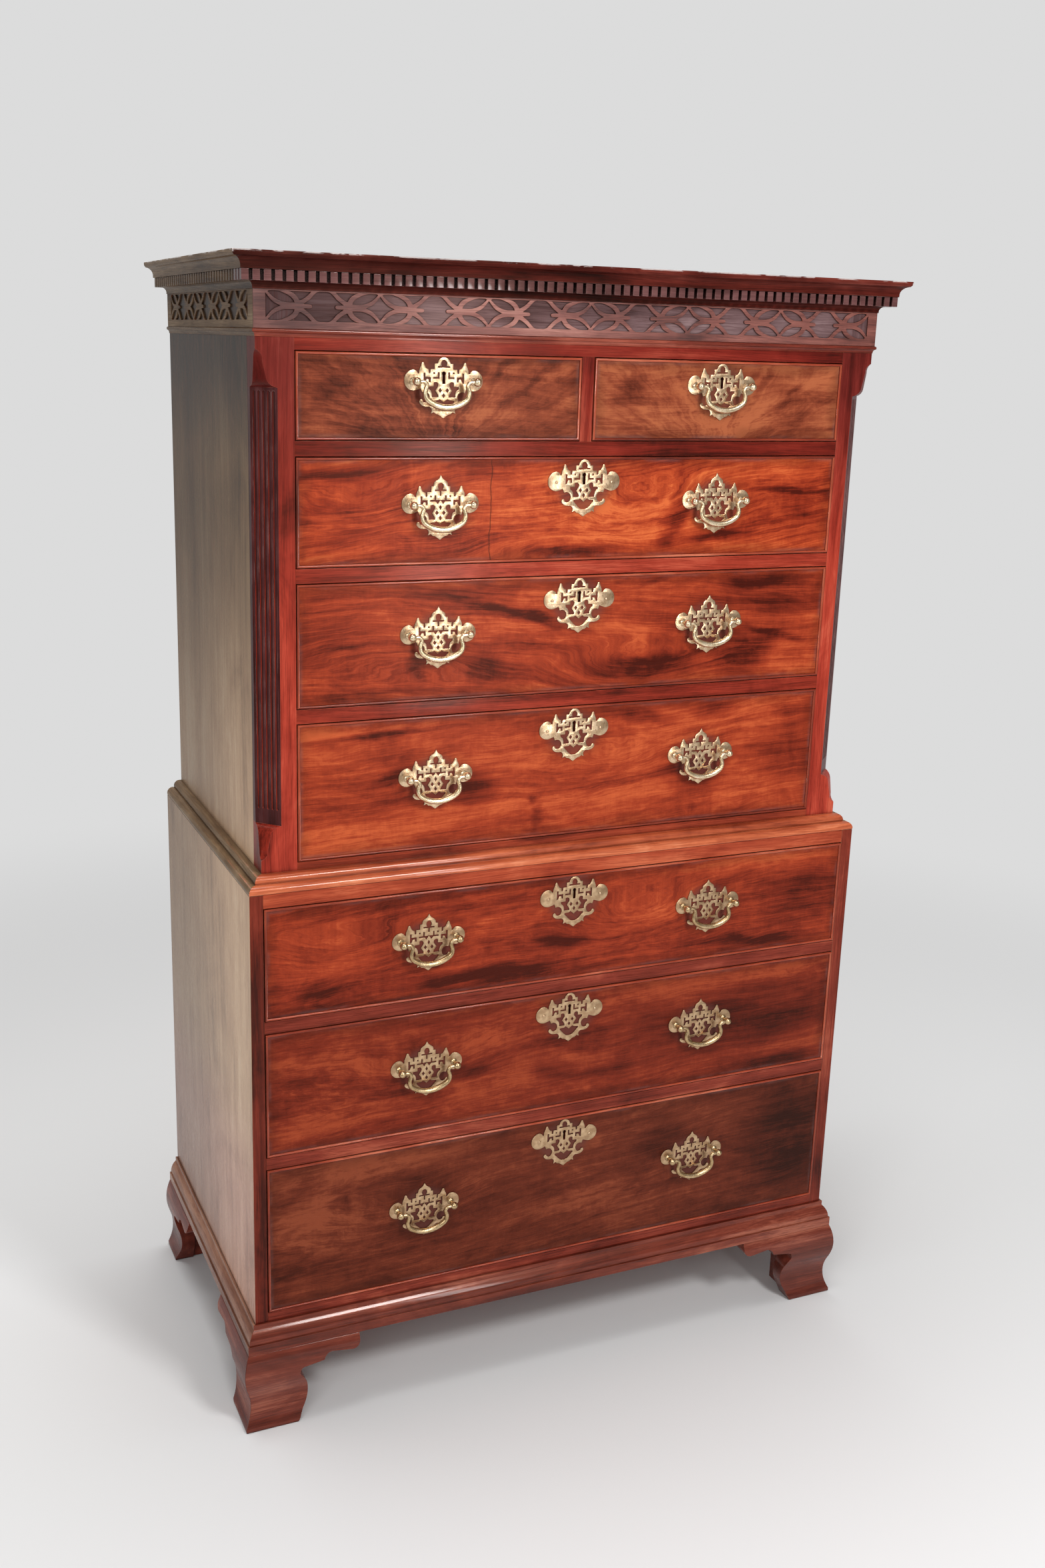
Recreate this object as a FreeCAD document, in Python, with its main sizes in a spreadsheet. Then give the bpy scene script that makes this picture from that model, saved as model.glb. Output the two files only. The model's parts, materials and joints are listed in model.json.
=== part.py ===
"""Chest on chest: a parametric model in millimetres.

The lower chest holds three long drawers and stands on ogee bracket feet. The upper chest is set
back behind a waist moulding and holds two short and three long drawers between canted, fluted
corner posts, under a fret frieze and a dentil cornice. +Z is up, the drawers open towards -Y and
the origin is on the floor under the middle of the whole piece.
"""
import FreeCAD, Part
import math
import os
import Sketcher
from types import SimpleNamespace

SIZES = {
    # heights, from the floor up
    "foot_height": 138.0,
    "base_height": 46.0,
    "lower_bottom_rail": 16.0,
    "lower_bottom_drawer": 255.0,
    "lower_middle_drawer": 210.5,
    "lower_top_drawer": 183.5,
    "lower_rail": 20.5,
    "lower_top_rail": 22.0,
    "waist_height": 25.0,
    "upper_bottom_rail": 12.0,
    "upper_bottom_drawer": 215.0,
    "upper_middle_drawer": 187.0,
    "upper_top_drawer": 160.0,
    "short_drawer": 124.5,
    "upper_rail": 21.8,
    "upper_top_rail": 17.1,
    "astragal_height": 11.0,
    "frieze_height": 52.0,
    # plan
    "lower_width": 1080.0,
    "lower_depth": 580.0,
    "waist_setback": 26.0,
    "side_thickness": 21.0,
    "board_thickness": 20.0,
    "back_thickness": 12.0,
    "dust_board": 8.0,
    "rail_depth": 70.0,
    "runner_width": 58.0,
    "guide_height": 18.0,
    "partition": 20.5,
    # canted corner posts
    "post_width": 56.0,
    "post_depth": 44.0,
    "cant": 31.5,
    "cant_bottom_margin": 20.0,
    "cant_top_margin": 17.0,
    "stop_height": 52.0,
    "stop_step_height": 12.0,
    "stop_end_height": 14.0,
    "stop_step_depth": 11.0,
    "stop_end_depth": 7.0,
    "flute_radius": 2.7,
    "flute_top_margin": 7.0,
    "flute_bottom_margin": 26.0,
    # base moulding
    "base_projection": 16.0,
    "base_fascia": 16.0,
    "base_groove_depth": 2.5,
    "base_groove_height": 3.0,
    "base_fillet": 4.0,
    "base_fillet_height": 8.0,
    # waist moulding
    "waist_nose": 3.0,
    "waist_round_height": 7.5,
    "waist_round_depth": 5.0,
    "waist_fillet_depth": 4.0,
    "waist_fillet_height": 3.5,
    "waist_lip": 1.0,
    # astragal
    "astragal_projection": 4.5,
    "astragal_nose": 4.0,
    "astragal_top": 1.0,
    # cornice
    "bed_height": 10.0,
    "bed_start": 1.5,
    "bed_projection": 10.0,
    "dentil_height": 15.0,
    "dentil_projection": 24.0,
    "dentil_strip": 4.0,
    "dentil_width": 10.5,
    "dentil_gap": 5.1,
    "crown_fillet": 3.0,
    "crown_lip": 1.5,
    "crown_cove_height": 13.0,
    "crown_cove_depth": 11.5,
    "crown_nose_depth": 3.0,
    "crown_nose_height": 8.0,
    "top_board": 18.0,
    # fret
    "fret_thickness": 2.5,
    "fret_pitch": 166.4,
    "fret_border": 3.0,
    "fret_strap": 5.5,
    # feet
    "foot_face": 171.0,
    "foot_top_projection": 16.0,
    "foot_bulge": 24.0,
    "foot_bend": 18.5,
    "foot_hollow": 13.0,
    "foot_toe": 22.5,
    "foot_bend_height": 72.0,
    "foot_toe_edge": 6.0,
    "foot_inside": 12.0,
    "foot_block": 46.0,
    "foot_lift": 2.0,
    "rear_bracket": 18.0,
    "bracket_sole": 65.0,
    "bracket_knee": 9.0,
    "bracket_knee_height": 20.0,
    "bracket_neck": 4.0,
    "bracket_neck_drop": 50.0,
    "bracket_shelf": 9.0,
    "bracket_shelf_drop": 37.0,
    "bracket_cusp_inset": 62.0,
    "bracket_cusp_drop": 32.0,
    "bracket_spur_inset": 48.0,
    "bracket_spur_drop": 20.0,
    "bracket_end_round": 13.0,
    "bracket_end_drop": 24.5,
    # drawers
    "drawer_gap": 1.2,
    "running_gap": 0.3,
    "front_thickness": 22.0,
    "bead_width": 4.0,
    "bead_depth": 10.0,
    "bead_proud": 2.5,
    "lining": 10.0,
    "drawer_floor": 7.0,
    "floor_raise": 7.0,
    "side_drop": 5.0,
    "back_drop": 14.0,
    "drawer_end_gap": 12.0,
    # brasses
    "upper_handle_spacing": 472.0,
    "lower_handle_spacing": 506.0,
    "handle_rise": 10.0,
    "lock_plate_clearance": 0.6,
    "plate_thickness": 1.6,
    "pivot_spacing": 94.0,
    "ear_radius": 14.3,
    "post_reach": 15.0,
    "ball_radius": 5.3,
    "stem_radius": 2.6,
    "stem_end": 2.0,
    "stem_clearance": 0.2,
    "collar_radius": 4.6,
    "collar_thickness": 2.0,
    "nut_radius": 6.5,
    "nut_thickness": 4.0,
    "thread_clearance": 0.1,
    "keyhole_radius": 2.8,
    "keyhole_rise": 11.5,
    "keyhole_slot": 4.4,
    "keyhole_length": 15.0,
    "lock_width": 70.0,
    "lock_height": 46.0,
    "lock_thickness": 11.0,
    # bails
    "bail_radius": 2.9,
    "pivot_radius": 1.6,
    "pivot_clearance": 0.08,
    "pivot_depth": 4.0,
    "pivot_end_gap": 0.4,
    "bail_shank": 9.0,
    "neck_radius": 6.0,
    "neck_length": 4.0,
    "shoulder_radius": 13.0,
}
FLUTES = 5
FLUTE_MARGIN = 0.7
BACK_BOARDS = 3

# Angles of a bail, in degrees: how far its neck leans out and how much of a circle half its bow takes
NECK_LEAN = 20.0
BOW_HALF_ANGLE = 35.6

# Bends of arcs, as the bow's share of the chord
QUARTER_BEND = 0.2
KNEE_BEND = 0.17
STOP_BEND = 0.15
NOSE_BEND = 0.1

# Right half of a back plate, out from its middle and up from the pivot line, for pivots at DRAWN_PIVOT.
# A corner of four numbers starts an arc through its last two.
DRAWN_PIVOT = 47.0
ARCH_CREST = [(0, 33.7, 7.2, 30.7), (10.2, 23.5), (14, 24.5), (14, 16), (20.5, 16), (20.5, 10)]
SPADE_CREST = [
    (0, 42.5, 2.8, 37.5), (8, 33, 11, 30.5), (11.6, 25), (15.5, 25), (15.5, 17), (22, 17), (22, 10),
]
PLATE_SIDE = [
    (26, 10), (26, 14), (29, 16), (32.5, 25.5), (36.5, 15), (36.5, 0), (33, -17, 22, -23), (33, -29),
    (35, -32), (31.5, -35.5), (22, -36.5), (17, -43), (11.5, -41.5), (0, -52),
]

# Openings of one quarter of a fret unit, as shares of the pitch from its ring and of the clear half height.
# A corner of four numbers starts an arc through its last two.
FRET_LEAF = [(0.24, 0.13, 0.36, 0.26), (0.457, 0.84, 0.31, 0.68)]
FRET_GABLE = [(0.085, 0.97, 0.15, 0.66), (0.2, 0.22, 0.25, 0.74), (0.345, 0.97)]
FRET_LOZENGE = [
    (-0.115, 0, -0.042, -0.36), (0, -0.9, 0.042, -0.36), (0.115, 0, 0.042, 0.36), (0, 0.9, -0.042, 0.36),
]

HALF_ROOT = math.sqrt(0.5)
VECTOR = FreeCAD.Vector
UP = VECTOR(0, 0, 1)
PLAN_VIEW = FreeCAD.Rotation()
FRONT_VIEW = FreeCAD.Rotation(VECTOR(1, 0, 0), 90)
SIDE_VIEW = FreeCAD.Rotation(VECTOR(1, 1, 1), 120)
TOWARDS_RIGHT = FreeCAD.Rotation(VECTOR(0, 1, 0), 90)
QUARTER_TURN_BACK = FreeCAD.Rotation(UP, -90)

doc = FreeCAD.newDocument("chest_on_chest")
sheet = doc.addObject("Spreadsheet::Sheet", "Sizes")
for row, (alias, number) in enumerate(SIZES.items(), start=1):
    sheet.set(f"A{row}", alias)
    sheet.set(f"B{row}", str(number))
    sheet.setAlias(f"B{row}", alias)
doc.recompute()


class Size:
    """A length that keeps its number together with the sheet expression that gives it."""

    def __init__(self, text, value):
        self.text = text
        self.value = value

    def __add__(self, other):
        other = as_size(other)
        return Size(f"({self.text} + {other.text})", self.value + other.value)

    def __sub__(self, other):
        other = as_size(other)
        return Size(f"({self.text} - {other.text})", self.value - other.value)

    def __mul__(self, other):
        other = as_size(other)
        return Size(f"({self.text} * {other.text})", self.value * other.value)

    def __truediv__(self, other):
        other = as_size(other)
        return Size(f"({self.text} / {other.text})", self.value / other.value)

    def __neg__(self):
        return Size(f"(-{self.text})", -self.value)

    def __radd__(self, other):
        return as_size(other) + self

    def __rsub__(self, other):
        return as_size(other) - self

    def __rmul__(self, other):
        return as_size(other) * self

    def __rtruediv__(self, other):
        return as_size(other) / self

    def root(self):
        return Size(f"sqrt({self.text})", math.sqrt(self.value))


def as_size(value):
    return value if isinstance(value, Size) else Size(f"({value})", float(value))


def larger(one, other):
    return Size(f"max({one.text}; {other.text})", max(one.value, other.value))


S = SimpleNamespace(**{name: Size(f"Sizes.{name}", number) for name, number in SIZES.items()})
nodes = []


# Helpers that make bound objects

def place(thing, x, y, z):
    """Bind an object's place to the sheet."""
    for axis, value in zip("xyz", (x, y, z)):
        thing.setExpression(f"Placement.Base.{axis}", as_size(value).text)
    return thing


def as_node(thing, label):
    thing.Label = label
    nodes.append(thing)
    return thing


def box(name, x, y, z):
    """A board between two limits, low and high, along each axis."""
    board = doc.addObject("Part::Box", name)
    for side, (low, high) in (("Length", x), ("Width", y), ("Height", z)):
        board.setExpression(side, (as_size(high) - low).text)
    return place(board, x[0], y[0], z[0])


def cylinder(name, radius, length, x, y, z, rotation):
    rod = doc.addObject("Part::Cylinder", name)
    rod.Placement = FreeCAD.Placement(VECTOR(), rotation)
    rod.setExpression("Radius", as_size(radius).text)
    rod.setExpression("Height", as_size(length).text)
    return place(rod, x, y, z)


def sphere(name, radius, x, y, z):
    ball = doc.addObject("Part::Sphere", name)
    ball.setExpression("Radius", as_size(radius).text)
    return place(ball, x, y, z)


def from_code(name, shape, rotation=PLAN_VIEW):
    """A piece whose shape is worked out here from the sheet's numbers."""
    piece = doc.addObject("Part::Feature", name)
    piece.Shape = shape
    piece.Placement = FreeCAD.Placement(VECTOR(), rotation)
    return piece


def fuse(name, members):
    joined = doc.addObject("Part::MultiFuse", name)
    joined.Shapes = members
    return joined


def common(name, base, tool):
    shared = doc.addObject("Part::Common", name)
    shared.Base = base
    shared.Tool = tool
    return shared


def cut(name, base, tools):
    """The base less one tool, or less several tools."""
    piece = doc.addObject("Part::Cut", name)
    piece.Base = base
    piece.Tool = tools[0] if len(tools) == 1 else fuse(f"{name}_tools", tools)
    return piece


def group(name, members):
    """Separate solids that make one node."""
    pieces = doc.addObject("Part::Compound", name)
    pieces.Links = members
    return pieces


def copy_of(master, name, x, y, z, rotation=PLAN_VIEW):
    link = doc.addObject("App::Link", name)
    link.LinkedObject = master
    link.LinkTransform = True
    link.Placement = FreeCAD.Placement(VECTOR(), rotation)
    return place(link, x, y, z)


def mirrored(name, source, normal=VECTOR(1, 0, 0)):
    """The same piece on the other side of a plane through the origin, by default left and right."""
    twin = doc.addObject("Part::Mirroring", name)
    twin.Source = source
    twin.Base = VECTOR()
    twin.Normal = normal
    return twin


def outline(name, corners, rotation=PLAN_VIEW, closed=True):
    """A sketch whose corners are held by bound distances.

    A corner is (x, y), or (x, y, bend) where an arc leaves it for the next corner. The bend is the
    arc's bow as a share of its chord: above zero it swells out of the material, below zero it is hollow.
    """
    sketch = doc.addObject("Sketcher::SketchObject", name)
    sketch.Placement = FreeCAD.Placement(VECTOR(), rotation)
    corners = [tuple(as_size(value) for value in corner) for corner in corners]
    points = [VECTOR(corner[0].value, corner[1].value, 0) for corner in corners]
    following = points[1:] + points[:1]
    area = sum(here.x * after.y - after.x * here.y for here, after in zip(points, following))
    ends = []
    radii = []
    for index in range(len(points) if closed else len(points) - 1):
        start = points[index]
        finish = following[index]
        if len(corners[index]) == 2:
            sketch.addGeometry(Part.LineSegment(start, finish))
            ends.append((index, 1, 2))
            continue
        bend = corners[index][2]
        outward = bend.value if area > 0 else -bend.value
        chord = finish - start
        middle = (start + finish) / 2 + VECTOR(chord.y, -chord.x, 0) * outward
        sketch.addGeometry(Part.Arc(start, middle, finish))
        ends.append((index, 1, 2) if outward > 0 else (index, 2, 1))
        radii.append((index, bow_radius(corners[index], corners[(index + 1) % len(corners)])))
    for here, after in zip(ends, ends[1:] + ends[:1] if closed else ends[1:]):
        sketch.addConstraint(Sketcher.Constraint("Coincident", here[0], here[2], after[0], after[1]))
    held = [(edge, start) for edge, start, finish in ends]
    if not closed:
        held.append((ends[-1][0], ends[-1][2]))
    for (edge, end), corner in zip(held, corners):
        for way, value in zip(("DistanceX", "DistanceY"), corner):
            number = sketch.addConstraint(Sketcher.Constraint(way, -1, 1, edge, end, value.value))
            sketch.setExpression(f"Constraints[{number}]", value.text)
    for edge, radius in radii:
        number = sketch.addConstraint(Sketcher.Constraint("Radius", edge, radius.value))
        sketch.setExpression(f"Constraints[{number}]", radius.text)
    return sketch


def bow_radius(corner, after):
    """Radius of the arc from one corner to the next."""
    across = after[0] - corner[0]
    along = after[1] - corner[1]
    chord = (across * across + along * along).root()
    bend = corner[2] if corner[2].value > 0 else -corner[2]
    return chord * (0.125 / bend + bend / 2)


def extrude(name, sketch, length, both_ways=False):
    """A solid along the sketch's own normal."""
    solid = doc.addObject("Part::Extrusion", name)
    solid.Base = sketch
    solid.DirMode = "Normal"
    solid.Solid = True
    solid.Symmetric = both_ways
    solid.setExpression("LengthFwd", as_size(length).text)
    return solid


def moulding(label, half_width, front, bottom, steps):
    """A moulding mitred round the front and both sides; steps are (projection, height) corners."""
    way_round = [(-half_width, BACK), (-half_width, front), (half_width, front), (half_width, BACK)]
    path = place(outline(f"{label}_path", way_round, closed=False), 0, 0, bottom)
    corners = [(-step[0], *step[1:]) for step in steps]
    section = place(outline(f"{label}_section", corners, FRONT_VIEW), -half_width, BACK, bottom)
    sweep = doc.addObject("Part::Sweep", f"{label}_sweep")
    sweep.Sections = [section]
    sweep.Spine = (path, [f"Edge{number}" for number in range(1, len(way_round))])
    sweep.Solid = True
    sweep.Frenet = False
    sweep.Transition = "Right corner"
    return as_node(sweep, label)


def arc_ring(corners):
    """A closed wire; a corner is (x, y), or (x, y, arc x, arc y) where an arc leaves it through a point."""
    edges = []
    for corner, after in zip(corners, corners[1:] + corners[:1]):
        start = VECTOR(*corner[:2], 0)
        finish = VECTOR(*after[:2], 0)
        if len(corner) == 2:
            edges.append(Part.LineSegment(start, finish).toShape())
        else:
            edges.append(Part.Arc(start, VECTOR(*corner[2:], 0), finish).toShape())
    return Part.Wire(edges)


# Planes and levels

PLATE_TO_AXIS = S.plate_thickness + S.post_reach
FRONT = (larger(PLATE_TO_AXIS + S.ball_radius, S.foot_bulge) - S.lower_depth) / 2
BACK = FRONT + S.lower_depth
BACK_INSIDE = BACK - S.back_thickness
UPPER_FRONT = FRONT + S.waist_setback
UPPER_DEPTH = S.lower_depth - S.waist_setback
LOWER_HALF = S.lower_width / 2
UPPER_HALF = LOWER_HALF - S.waist_setback
LOWER_OPENING = LOWER_HALF - S.side_thickness
UPPER_OPENING = UPPER_HALF - S.post_width
SIDE_INSIDE = UPPER_HALF - S.side_thickness

BASE_TOP = S.foot_height + S.base_height
LOWER_FLOOR = BASE_TOP + S.lower_bottom_rail
LOWER_RAIL_1 = LOWER_FLOOR + S.lower_bottom_drawer
LOWER_FLOOR_2 = LOWER_RAIL_1 + S.lower_rail
LOWER_RAIL_2 = LOWER_FLOOR_2 + S.lower_middle_drawer
LOWER_FLOOR_3 = LOWER_RAIL_2 + S.lower_rail
LOWER_CEILING = LOWER_FLOOR_3 + S.lower_top_drawer
LOWER_TOP = LOWER_CEILING + S.lower_top_rail
WAIST_TOP = LOWER_TOP + S.waist_height
UPPER_FLOOR = WAIST_TOP + S.upper_bottom_rail
UPPER_RAIL_1 = UPPER_FLOOR + S.upper_bottom_drawer
UPPER_FLOOR_2 = UPPER_RAIL_1 + S.upper_rail
UPPER_RAIL_2 = UPPER_FLOOR_2 + S.upper_middle_drawer
UPPER_FLOOR_3 = UPPER_RAIL_2 + S.upper_rail
UPPER_RAIL_3 = UPPER_FLOOR_3 + S.upper_top_drawer
SHORT_FLOOR = UPPER_RAIL_3 + S.upper_rail
UPPER_CEILING = SHORT_FLOOR + S.short_drawer
ASTRAGAL_BOTTOM = UPPER_CEILING + S.upper_top_rail
FRIEZE_BOTTOM = ASTRAGAL_BOTTOM + S.astragal_height
FRIEZE_TOP = FRIEZE_BOTTOM + S.frieze_height
DENTIL_BOTTOM = FRIEZE_TOP + S.bed_height

# From the top of a drawer's opening down to its lock plate's pivot line, so that the crest clears the bead
LOCK_DROP = S.drawer_gap + S.bead_width + S.lock_plate_clearance + ARCH_CREST[0][1]


# Lower chest

def lower_case():
    inside = (-LOWER_OPENING, LOWER_OPENING)
    deep = (FRONT, BACK_INSIDE)
    tall = (S.foot_height, LOWER_TOP)
    left = box("lower_side_left", (-LOWER_HALF, -LOWER_OPENING), (FRONT, BACK), tall)
    as_node(group("lower_side_pair", [left, mirrored("lower_side_right", left)]), "lower_sides")
    as_node(box("lower_top_board", inside, deep, (LOWER_CEILING, LOWER_TOP)), "lower_top")
    underside = LOWER_FLOOR - S.board_thickness
    as_node(box("lower_bottom_board", inside, deep, (underside, LOWER_FLOOR)), "lower_bottom")
    plinth = (S.foot_height, underside)
    front_rail = box("plinth_front", inside, (FRONT, FRONT + S.board_thickness), plinth)
    back_rail = box("plinth_back", inside, (BACK_INSIDE - S.board_thickness, BACK_INSIDE), plinth)
    as_node(group("plinth_rails", [front_rail, back_rail]), "base_frame")
    back_boards("lower_back", LOWER_OPENING, S.foot_height, LOWER_TOP)
    dividers = []
    for number, level in enumerate((LOWER_RAIL_1, LOWER_RAIL_2), start=1):
        name = f"lower_divider_{number}"
        dividers += divider(name, LOWER_OPENING, LOWER_OPENING, FRONT, (level, level + S.lower_rail))
    as_node(group("lower_divider_set", dividers), "lower_dividers")


def back_boards(label, half, bottom, top):
    """Upright boards, edge to edge."""
    width = half * 2 / BACK_BOARDS
    boards = []
    for number in range(BACK_BOARDS):
        left = width * number - half
        across = (left, left + width)
        boards.append(box(f"{label}_board_{number}", across, (BACK_INSIDE, BACK), (bottom, top)))
    as_node(group(f"{label}_set", boards), label)


def divider(name, front_half, inside_half, front, height, centre=None):
    """A drawer rail with runners behind it and thin dust boards between the runners."""
    behind = (front + S.rail_depth, BACK_INSIDE)
    runner = front_half - S.runner_width
    middle = (height[0] + height[1] - S.dust_board) / 2
    thin = (middle, middle + S.dust_board)
    pieces = [
        box(f"{name}_rail", (-front_half, front_half), (front, behind[0]), height),
        box(f"{name}_runner_left", (-inside_half, -runner), behind, height),
        box(f"{name}_runner_right", (runner, inside_half), behind, height),
    ]
    if centre is None:
        pieces.append(box(f"{name}_dust_board", (-runner, runner), behind, thin))
    else:
        pieces.append(box(f"{name}_runner_centre", (-centre, centre), behind, height))
        pieces.append(box(f"{name}_dust_board_left", (-runner, -centre), behind, thin))
        pieces.append(box(f"{name}_dust_board_right", (centre, runner), behind, thin))
    return pieces


def lower_mouldings():
    nose = S.base_projection
    groove = nose - S.base_groove_depth
    fillet = S.base_fillet
    round_bottom = S.base_fascia + S.base_groove_height
    moulding("base_moulding", LOWER_HALF, FRONT, S.foot_height, [
        (0, 0), (nose, 0), (nose, S.base_fascia), (groove, S.base_fascia),
        (groove, round_bottom, NOSE_BEND), (fillet, S.base_height - S.base_fillet_height),
        (fillet, S.base_height), (0, S.base_height),
    ])
    face = S.waist_setback
    round_in = face - S.waist_round_depth
    round_top = S.waist_nose + S.waist_round_height
    fillet_in = round_in - S.waist_fillet_depth
    cove_bottom = round_top + S.waist_fillet_height
    moulding("waist_moulding", UPPER_HALF, UPPER_FRONT, LOWER_TOP, [
        (0, 0), (face, 0), (face, S.waist_nose, QUARTER_BEND), (round_in, round_top),
        (fillet_in, round_top), (fillet_in, cove_bottom, -QUARTER_BEND),
        (S.waist_lip, S.waist_height), (0, S.waist_height),
    ])


# Feet

def bracket_board(name, start, deep):
    """The shaped board of a bracket foot, seen from its face, with the case corner at x = 0."""
    top = S.foot_height
    face = S.foot_face
    sole = S.bracket_sole
    edge = outline(f"{name}_edge", [
        (start, 0), (sole, 0), (sole + S.bracket_knee, S.bracket_knee_height, KNEE_BEND),
        (sole + S.bracket_neck, top - S.bracket_neck_drop, -QUARTER_BEND),
        (sole + S.bracket_shelf, top - S.bracket_shelf_drop),
        (face - S.bracket_cusp_inset, top - S.bracket_cusp_drop, -QUARTER_BEND),
        (face - S.bracket_spur_inset, top - S.bracket_spur_drop),
        (face - S.bracket_end_round, top - S.bracket_end_drop, QUARTER_BEND),
        (face, top - S.bracket_end_drop + S.bracket_end_round), (face, top), (start, top),
    ], FRONT_VIEW)
    return extrude(f"{name}_board", place(edge, 0, deep[1], 0), deep[1] - deep[0])


def ogee_bracket(name, start):
    """A bracket with an ogee face, along the front and to the right of its corner."""
    top = S.foot_height
    upper_chord = top - S.foot_bend_height
    lower_chord = S.foot_bend_height - S.foot_toe_edge
    swell = (S.foot_bulge - (S.foot_top_projection + S.foot_bend) / 2) / upper_chord
    hollow = ((S.foot_bend + S.foot_toe) / 2 - S.foot_hollow) / lower_chord
    section = outline(f"{name}_section", [
        (S.foot_inside, 0), (S.foot_inside, top), (-S.foot_top_projection, top, swell),
        (-S.foot_bend, S.foot_bend_height, -hollow), (-S.foot_toe, S.foot_toe_edge), (-S.foot_toe, 0),
    ], SIDE_VIEW)
    ogee = extrude(f"{name}_ogee", place(section, start, 0, 0), S.foot_face - start)
    return common(name, ogee, bracket_board(name, start, (-S.foot_bulge * 2, S.foot_inside)))


def front_foot():
    """Two ogee brackets mitred at the front left corner, with a block behind the mitre."""
    reach = S.foot_bulge * 2
    inside = S.foot_inside
    plan = outline("mitre_plan", [(-reach, -reach), (inside, inside), (-reach, inside)])
    mitre = extrude("mitre", plan, S.foot_height)
    bracket = cut("front_bracket", ogee_bracket("front_blank", -reach), [mitre])
    side = mirrored("front_side_bracket", bracket, VECTOR(1, -1, 0))
    return group("front_foot", [bracket, side, corner_block("front_block", inside)])


def rear_foot():
    """An ogee bracket along the side and a plain one across the back, at the back left corner."""
    start = as_size(0)
    side = copy_of(ogee_bracket("rear_side", start), "rear_side_turned", 0, 0, 0, QUARTER_TURN_BACK)
    back = bracket_board("rear_back", S.foot_inside, (-S.rear_bracket, start))
    return group("rear_foot", [side, back, corner_block("rear_block", -S.rear_bracket - S.foot_block)])


def corner_block(name, front):
    """The glued block that carries the weight, square in the corner of the brackets."""
    across = (S.foot_inside, S.foot_inside + S.foot_block)
    return box(name, across, (front, front + S.foot_block), (S.foot_lift, S.foot_height))


def feet():
    for label, foot, corner in (("front_feet", front_foot(), FRONT), ("rear_feet", rear_foot(), BACK)):
        left = group(f"{label}_left", [copy_of(foot, f"{label}_copy", -LOWER_HALF, corner, 0)])
        as_node(group(f"{label}_pair", [left, mirrored(f"{label}_right", left)]), label)


# Upper chest

def upper_case():
    behind_post = UPPER_FRONT + S.post_depth
    tall = (LOWER_TOP, DENTIL_BOTTOM)
    left = box("upper_side_left", (-UPPER_HALF, -SIDE_INSIDE), (behind_post, BACK), tall)
    as_node(group("upper_side_pair", [left, mirrored("upper_side_right", left)]), "upper_sides")
    roof = (DENTIL_BOTTOM, DENTIL_BOTTOM + S.top_board)
    as_node(box("upper_top_board", (-UPPER_HALF, UPPER_HALF), (UPPER_FRONT, BACK), roof), "upper_top")
    floor = (UPPER_FLOOR - S.board_thickness, UPPER_FLOOR)
    opening = (-UPPER_OPENING, UPPER_OPENING)
    between_posts = box("upper_floor_front", opening, (UPPER_FRONT, behind_post), floor)
    behind = box("upper_floor_rear", (-SIDE_INSIDE, SIDE_INSIDE), (behind_post, BACK_INSIDE), floor)
    as_node(fuse("upper_floor", [between_posts, behind]), "upper_bottom")
    back_boards("upper_back", SIDE_INSIDE, LOWER_TOP, DENTIL_BOTTOM)
    upper_dividers()
    post = corner_post()
    as_node(group("corner_post_pair", [post, mirrored("corner_post_right", post)]), "corner_posts")


def upper_dividers():
    opening = (-UPPER_OPENING, UPPER_OPENING)
    thin_rail = (UPPER_FRONT, UPPER_FRONT + S.board_thickness)
    behind = (UPPER_FRONT + S.rail_depth, BACK_INSIDE)
    half = S.partition / 2
    pieces = [
        box("frieze_rail", opening, thin_rail, (UPPER_CEILING, DENTIL_BOTTOM)),
        box("waist_rail", opening, thin_rail, (LOWER_TOP, UPPER_FLOOR - S.board_thickness)),
        box("partition_stile", (-half, half), (UPPER_FRONT, behind[0]), (SHORT_FLOOR, UPPER_CEILING)),
        box("centre_guide", (-half, half), behind, (SHORT_FLOOR, SHORT_FLOOR + S.guide_height)),
        box("centre_kicker", (-half, half), (thin_rail[1], BACK_INSIDE), (UPPER_CEILING, ASTRAGAL_BOTTOM)),
    ]
    levels = (UPPER_RAIL_1, None), (UPPER_RAIL_2, None), (UPPER_RAIL_3, (S.partition + S.runner_width) / 2)
    for number, (level, centre) in enumerate(levels, start=1):
        height = (level, level + S.upper_rail)
        pieces += divider(f"upper_divider_{number}", UPPER_OPENING, SIDE_INSIDE, UPPER_FRONT, height, centre)
    for number, level in enumerate((UPPER_FLOOR, UPPER_FLOOR_2, UPPER_FLOOR_3, SHORT_FLOOR), start=1):
        height = (level, level + S.guide_height)
        left = box(f"guide_left_{number}", (-SIDE_INSIDE, -UPPER_OPENING), behind, height)
        pieces += [left, mirrored(f"guide_right_{number}", left)]
    across = (-SIDE_INSIDE, S.runner_width - UPPER_OPENING)
    left = box("kicker_left", across, behind, (UPPER_CEILING, ASTRAGAL_BOTTOM))
    pieces += [left, mirrored("kicker_right", left)]
    as_node(group("upper_divider_set", pieces), "upper_dividers")


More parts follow.
